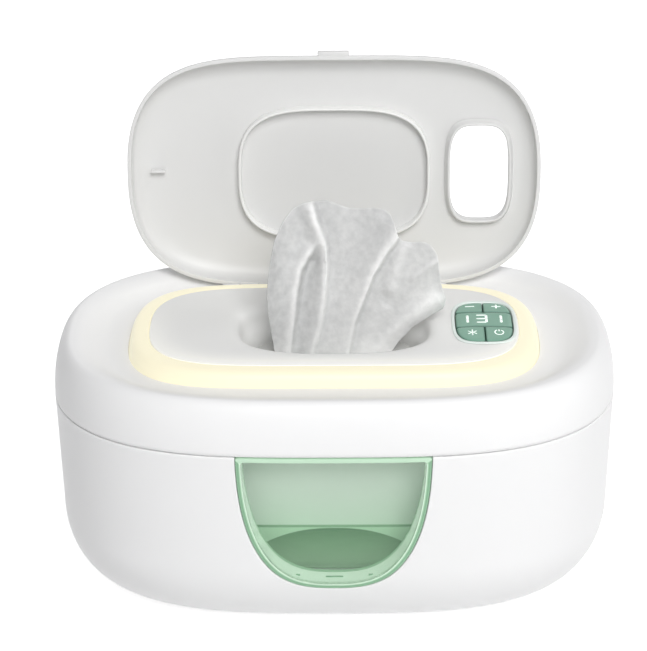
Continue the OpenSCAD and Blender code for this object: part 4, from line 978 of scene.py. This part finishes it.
# %% Folds of the wipe
# Each fold is a line (x, z) from top to bottom. A row says how far the sheet comes forward there, in mm,
# over which width on the left and right of the line, and for its top and bottom end how strong the
# painted highlight on the crest is and how wide it is on the left and on the right.
FOLDS = [
    ([(-10.2, 174), (-8.1, 163.7), (-4.2, 152.3), (-3.5, 139.9), (-4.9, 124.6), (-6.7, 112.9),
      (-10.9, 98)], 4.2, 5.0, 1.7, (0.62, 0.22), (2.6, 1.0), (0.7, 1.4)),
    ([(-8.6, 152), (-14.9, 140.0), (-16.8, 130.4), (-17.8, 118.8), (-19.3, 107.1), (-20.3, 98)],
     3.4, 4.5, 1.4, (0.46, 0.34), (1.6, 2.0), (1.0, 0.5)),
    ([(31.0, 161), (27.6, 155), (22.7, 148.4), (16.5, 137.0), (12.1, 124.5), (8.5, 114.8), (5.7, 98)],
     5.0, 9.0, 1.8, (0.66, 0.18), (3.6, 1.0), (1.5, 0.6)),
    ([(32.4, 153.5), (28.5, 145.5), (26.3, 136.9), (24.5, 131)],
     1.6, 3.0, 3.0, (0.24, 0.14), (2.0, 2.0), (2.6, 2.0)),
    ([(47.5, 145), (40.4, 140.2), (35.2, 136)], 0.6, 1.5, 1.5, (0.26, 0.05), (1.6, 1.2), (0.6, 0.6)),
    ([(49.5, 127), (40.6, 121.6), (30.8, 114.8), (22.8, 107.0), (16.7, 98)],
     2.0, 5.0, 3.5, (0.34, 0.34), (4.5, 3.5), (5.0, 5.0)),
    ([(24, 124), (17, 112), (11.5, 98)], 1.2, 3.5, 3.5, (0.08, 0.26), (3.0, 3.0), (3.0, 3.0))]


def to_line(line):
    """How far each point of the sheet is from a line, positive to its right, and at which share of the
    line the nearest spot lies."""
    start, step = np.array(line)[:-1], np.diff(line, axis=0)
    rel = flatxz[:, :, None] - start
    along = np.clip((rel * step).sum(-1) / (step ** 2).sum(-1), 0, 1)
    off = rel - along[..., None] * step
    far = np.hypot(off[..., 0], off[..., 1])
    side = np.sign(step[:, 0] * off[..., 1] - step[:, 1] * off[..., 0])
    k = far.argmin(-1)[..., None]
    distance, share = [np.take_along_axis(v, k, -1)[..., 0] for v in (far * side, k + along)]
    return distance, share / len(step)


def bell(distance, left, right):
    """1 on a line, falling off over one width on its left and another on its right."""
    return np.exp(-(distance / np.where(distance < 0, left, right)) ** 2)


# The sheet swings back and forth in one wide wave, leans and bows backwards, and the folds stand out
# of that. Painted light makes it lighter low down and towards the right, and painted shade greys the hollow
# beside the left edge.
WAVE, WAVES, WAVE_AT, LEAN, BOW = 7.5, 1.3, 0.46, 6.0, 3.0
y = WAVE * T * np.cos(2 * math.pi * WAVES * (S - WAVE_AT)) + LEAN * T ** 2 * (S - 0.5) + BOW * T ** 2
white = 0.27 + 0.24 * (1 - T) + 0.14 * S - 0.17 * np.exp(-((S - 0.16) / 0.15) ** 2) * T
nearest = [to_line(fold[0]) for fold in FOLDS]
for (distance, share), (_, forward, left, right, crest, on_left, on_right) in zip(nearest, FOLDS):
    begin = np.clip(share / 0.12, 0, 1)
    y = y - forward * bell(distance, left, right) * np.clip(0.3 + begin, 0, 1)
    widths = [np.interp(share, [0, 0.6], ends) for ends in (on_left, on_right)]
    white += np.interp(share, [0, 1], crest) * np.clip(0.4 + begin, 0, 1) * bell(distance, *widths)

# Painted shade in the valley between the first two folds and right of the first and third, and painted
# light on the cloth left of the third, on the turned tip at the right and along the cut edge.
(first, share), (second, _), (third, _) = nearest[:3]
x, z = flatxz[..., 0], flatxz[..., 1]
valley = bell(second - 3.6, 2.2, 5.0) * (first < 0.0) * np.clip((152 - z) / 8, 0, 1)
white -= (0.17 - 0.12 * share) * bell(first - 3.0, 2.0, 6.0) + 0.2 * valley
white += 0.12 * bell(third, 9.0, 0.6) * np.clip(1.3 - T, 0, 1) - 0.06 * bell(third - 2.5, 1.5, 3.0)
white += 0.2 * np.exp(-((x - 45) / 8) ** 2 - ((z - 127) / 6) ** 2)
white += 0.22 * np.exp(-((1 - T) / 0.008) ** 2)
y = (y + 3.0 * valley) * np.clip(0.2 + 1.3 * T, 0, 1)
print("wipe depth from", round(float(y.min()), 1), "to", round(float(y.max()), 1))

# %% Wipe
# The outline is drawn as it looks from 23 degrees above, so what stands forward is drawn up by VIEW_SLOPE.
VIEW_SLOPE, CLOTH_T = 0.434, 0.35
wipe_grid = np.stack([flatxz[..., 0], y, flatxz[..., 1] - VIEW_SLOPE * y * T], -1)
wipe = piece("wipe_cloth", weave(wipe_grid, close_u=False), cloth, "cover", ["wipe"])
# Each point's painted light and shade, from 0 to 1.
paint(wipe, "painted_fold_light", np.clip(white, 0, 1))
thicken(wipe, CLOTH_T, offset=0)
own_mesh(wipe)
down, along = np.diff(wipe_grid, axis=0)[:, :-1], np.diff(wipe_grid, axis=1)[:-1]
print("cloth area in square mm:", round(float(np.linalg.norm(np.cross(down, along), axis=-1).sum())))

# %% [markdown]
# ## What is left
# Hinge leaves and barrels are built here as new pieces. Feet, screws and the other imported solids that
# already have the right shape keep it and only get their finishes.

# %% Hinge barrels of the cover
BARREL_Y, BARREL_Z, LEAF, LEAF_GAP, LEAF_R = 90.5, 89.3, 18.0, 0.4, 3.6
LEAF_L = LEAF - LEAF_GAP
web_low = [(84.2, 89.0), (84.2, 80.0), (86.2, 80.0), (93.2, 87.0), (90.5, 89.0)]
web_high = [(84.2, 89.6), (90.5, 89.6), (93.2, 91.6), (85.6, 98.6), (83.8, 98.6)]
for group, body, web, slot in (((0, 2, 4), "base", web_low[::-1], "shell_white"),
                               ((1, 3), "cover", web_high, "cover_white")):
    parts = []
    for k in group:
        x0 = (k - 2.5) * LEAF + LEAF_GAP / 2
        parts += [barrel(x0, LEAF_L, LEAF_R, BARREL_Y, BARREL_Z), prism(web, x0, x0 + LEAF_L)]
    piece("hinge_leaves_" + body, joined(parts), white_abs, body, sharp=35)

# %% Lid hinge barrels in the recess
BARREL_L, BARREL_FROM = 7.75, LUG_W / 2 + 0.25
starts = [x + k for x in (-HINGE_X, HINGE_X) for k in (-BARREL_FROM - BARREL_L, BARREL_FROM)]
piece("lid_hinge_barrels", joined([barrel(x0, BARREL_L, BARREL_R, HINGE_Y, HINGE_Z) for x0 in starts]),
      white_abs, "cover", sharp=35)

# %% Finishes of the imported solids
for names, material in [
        (["base_plate", "cover_liner"], white_abs), (["rubber_feet"], foot_rubber),
        (["base_screws", "cover_screws", "lid_hinge_pins", "cover_hinge_pin", "heater_plate"], steel),
        (["chamber_seal"], silicone_white), (["window_gasket"], silicone_mint), (["wipe_bin"], bin_pp),
        (["dispensing_insert"], silicone_grey), (["main_board", "control_board"], board_epoxy),
        (["dc_jack", "key_switches", "display_module", "thermal_cutoff", "thermistor"], black_nylon)]:
    for name in names:
        for slot_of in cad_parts[name].material_slots:
            slot_of.material = material
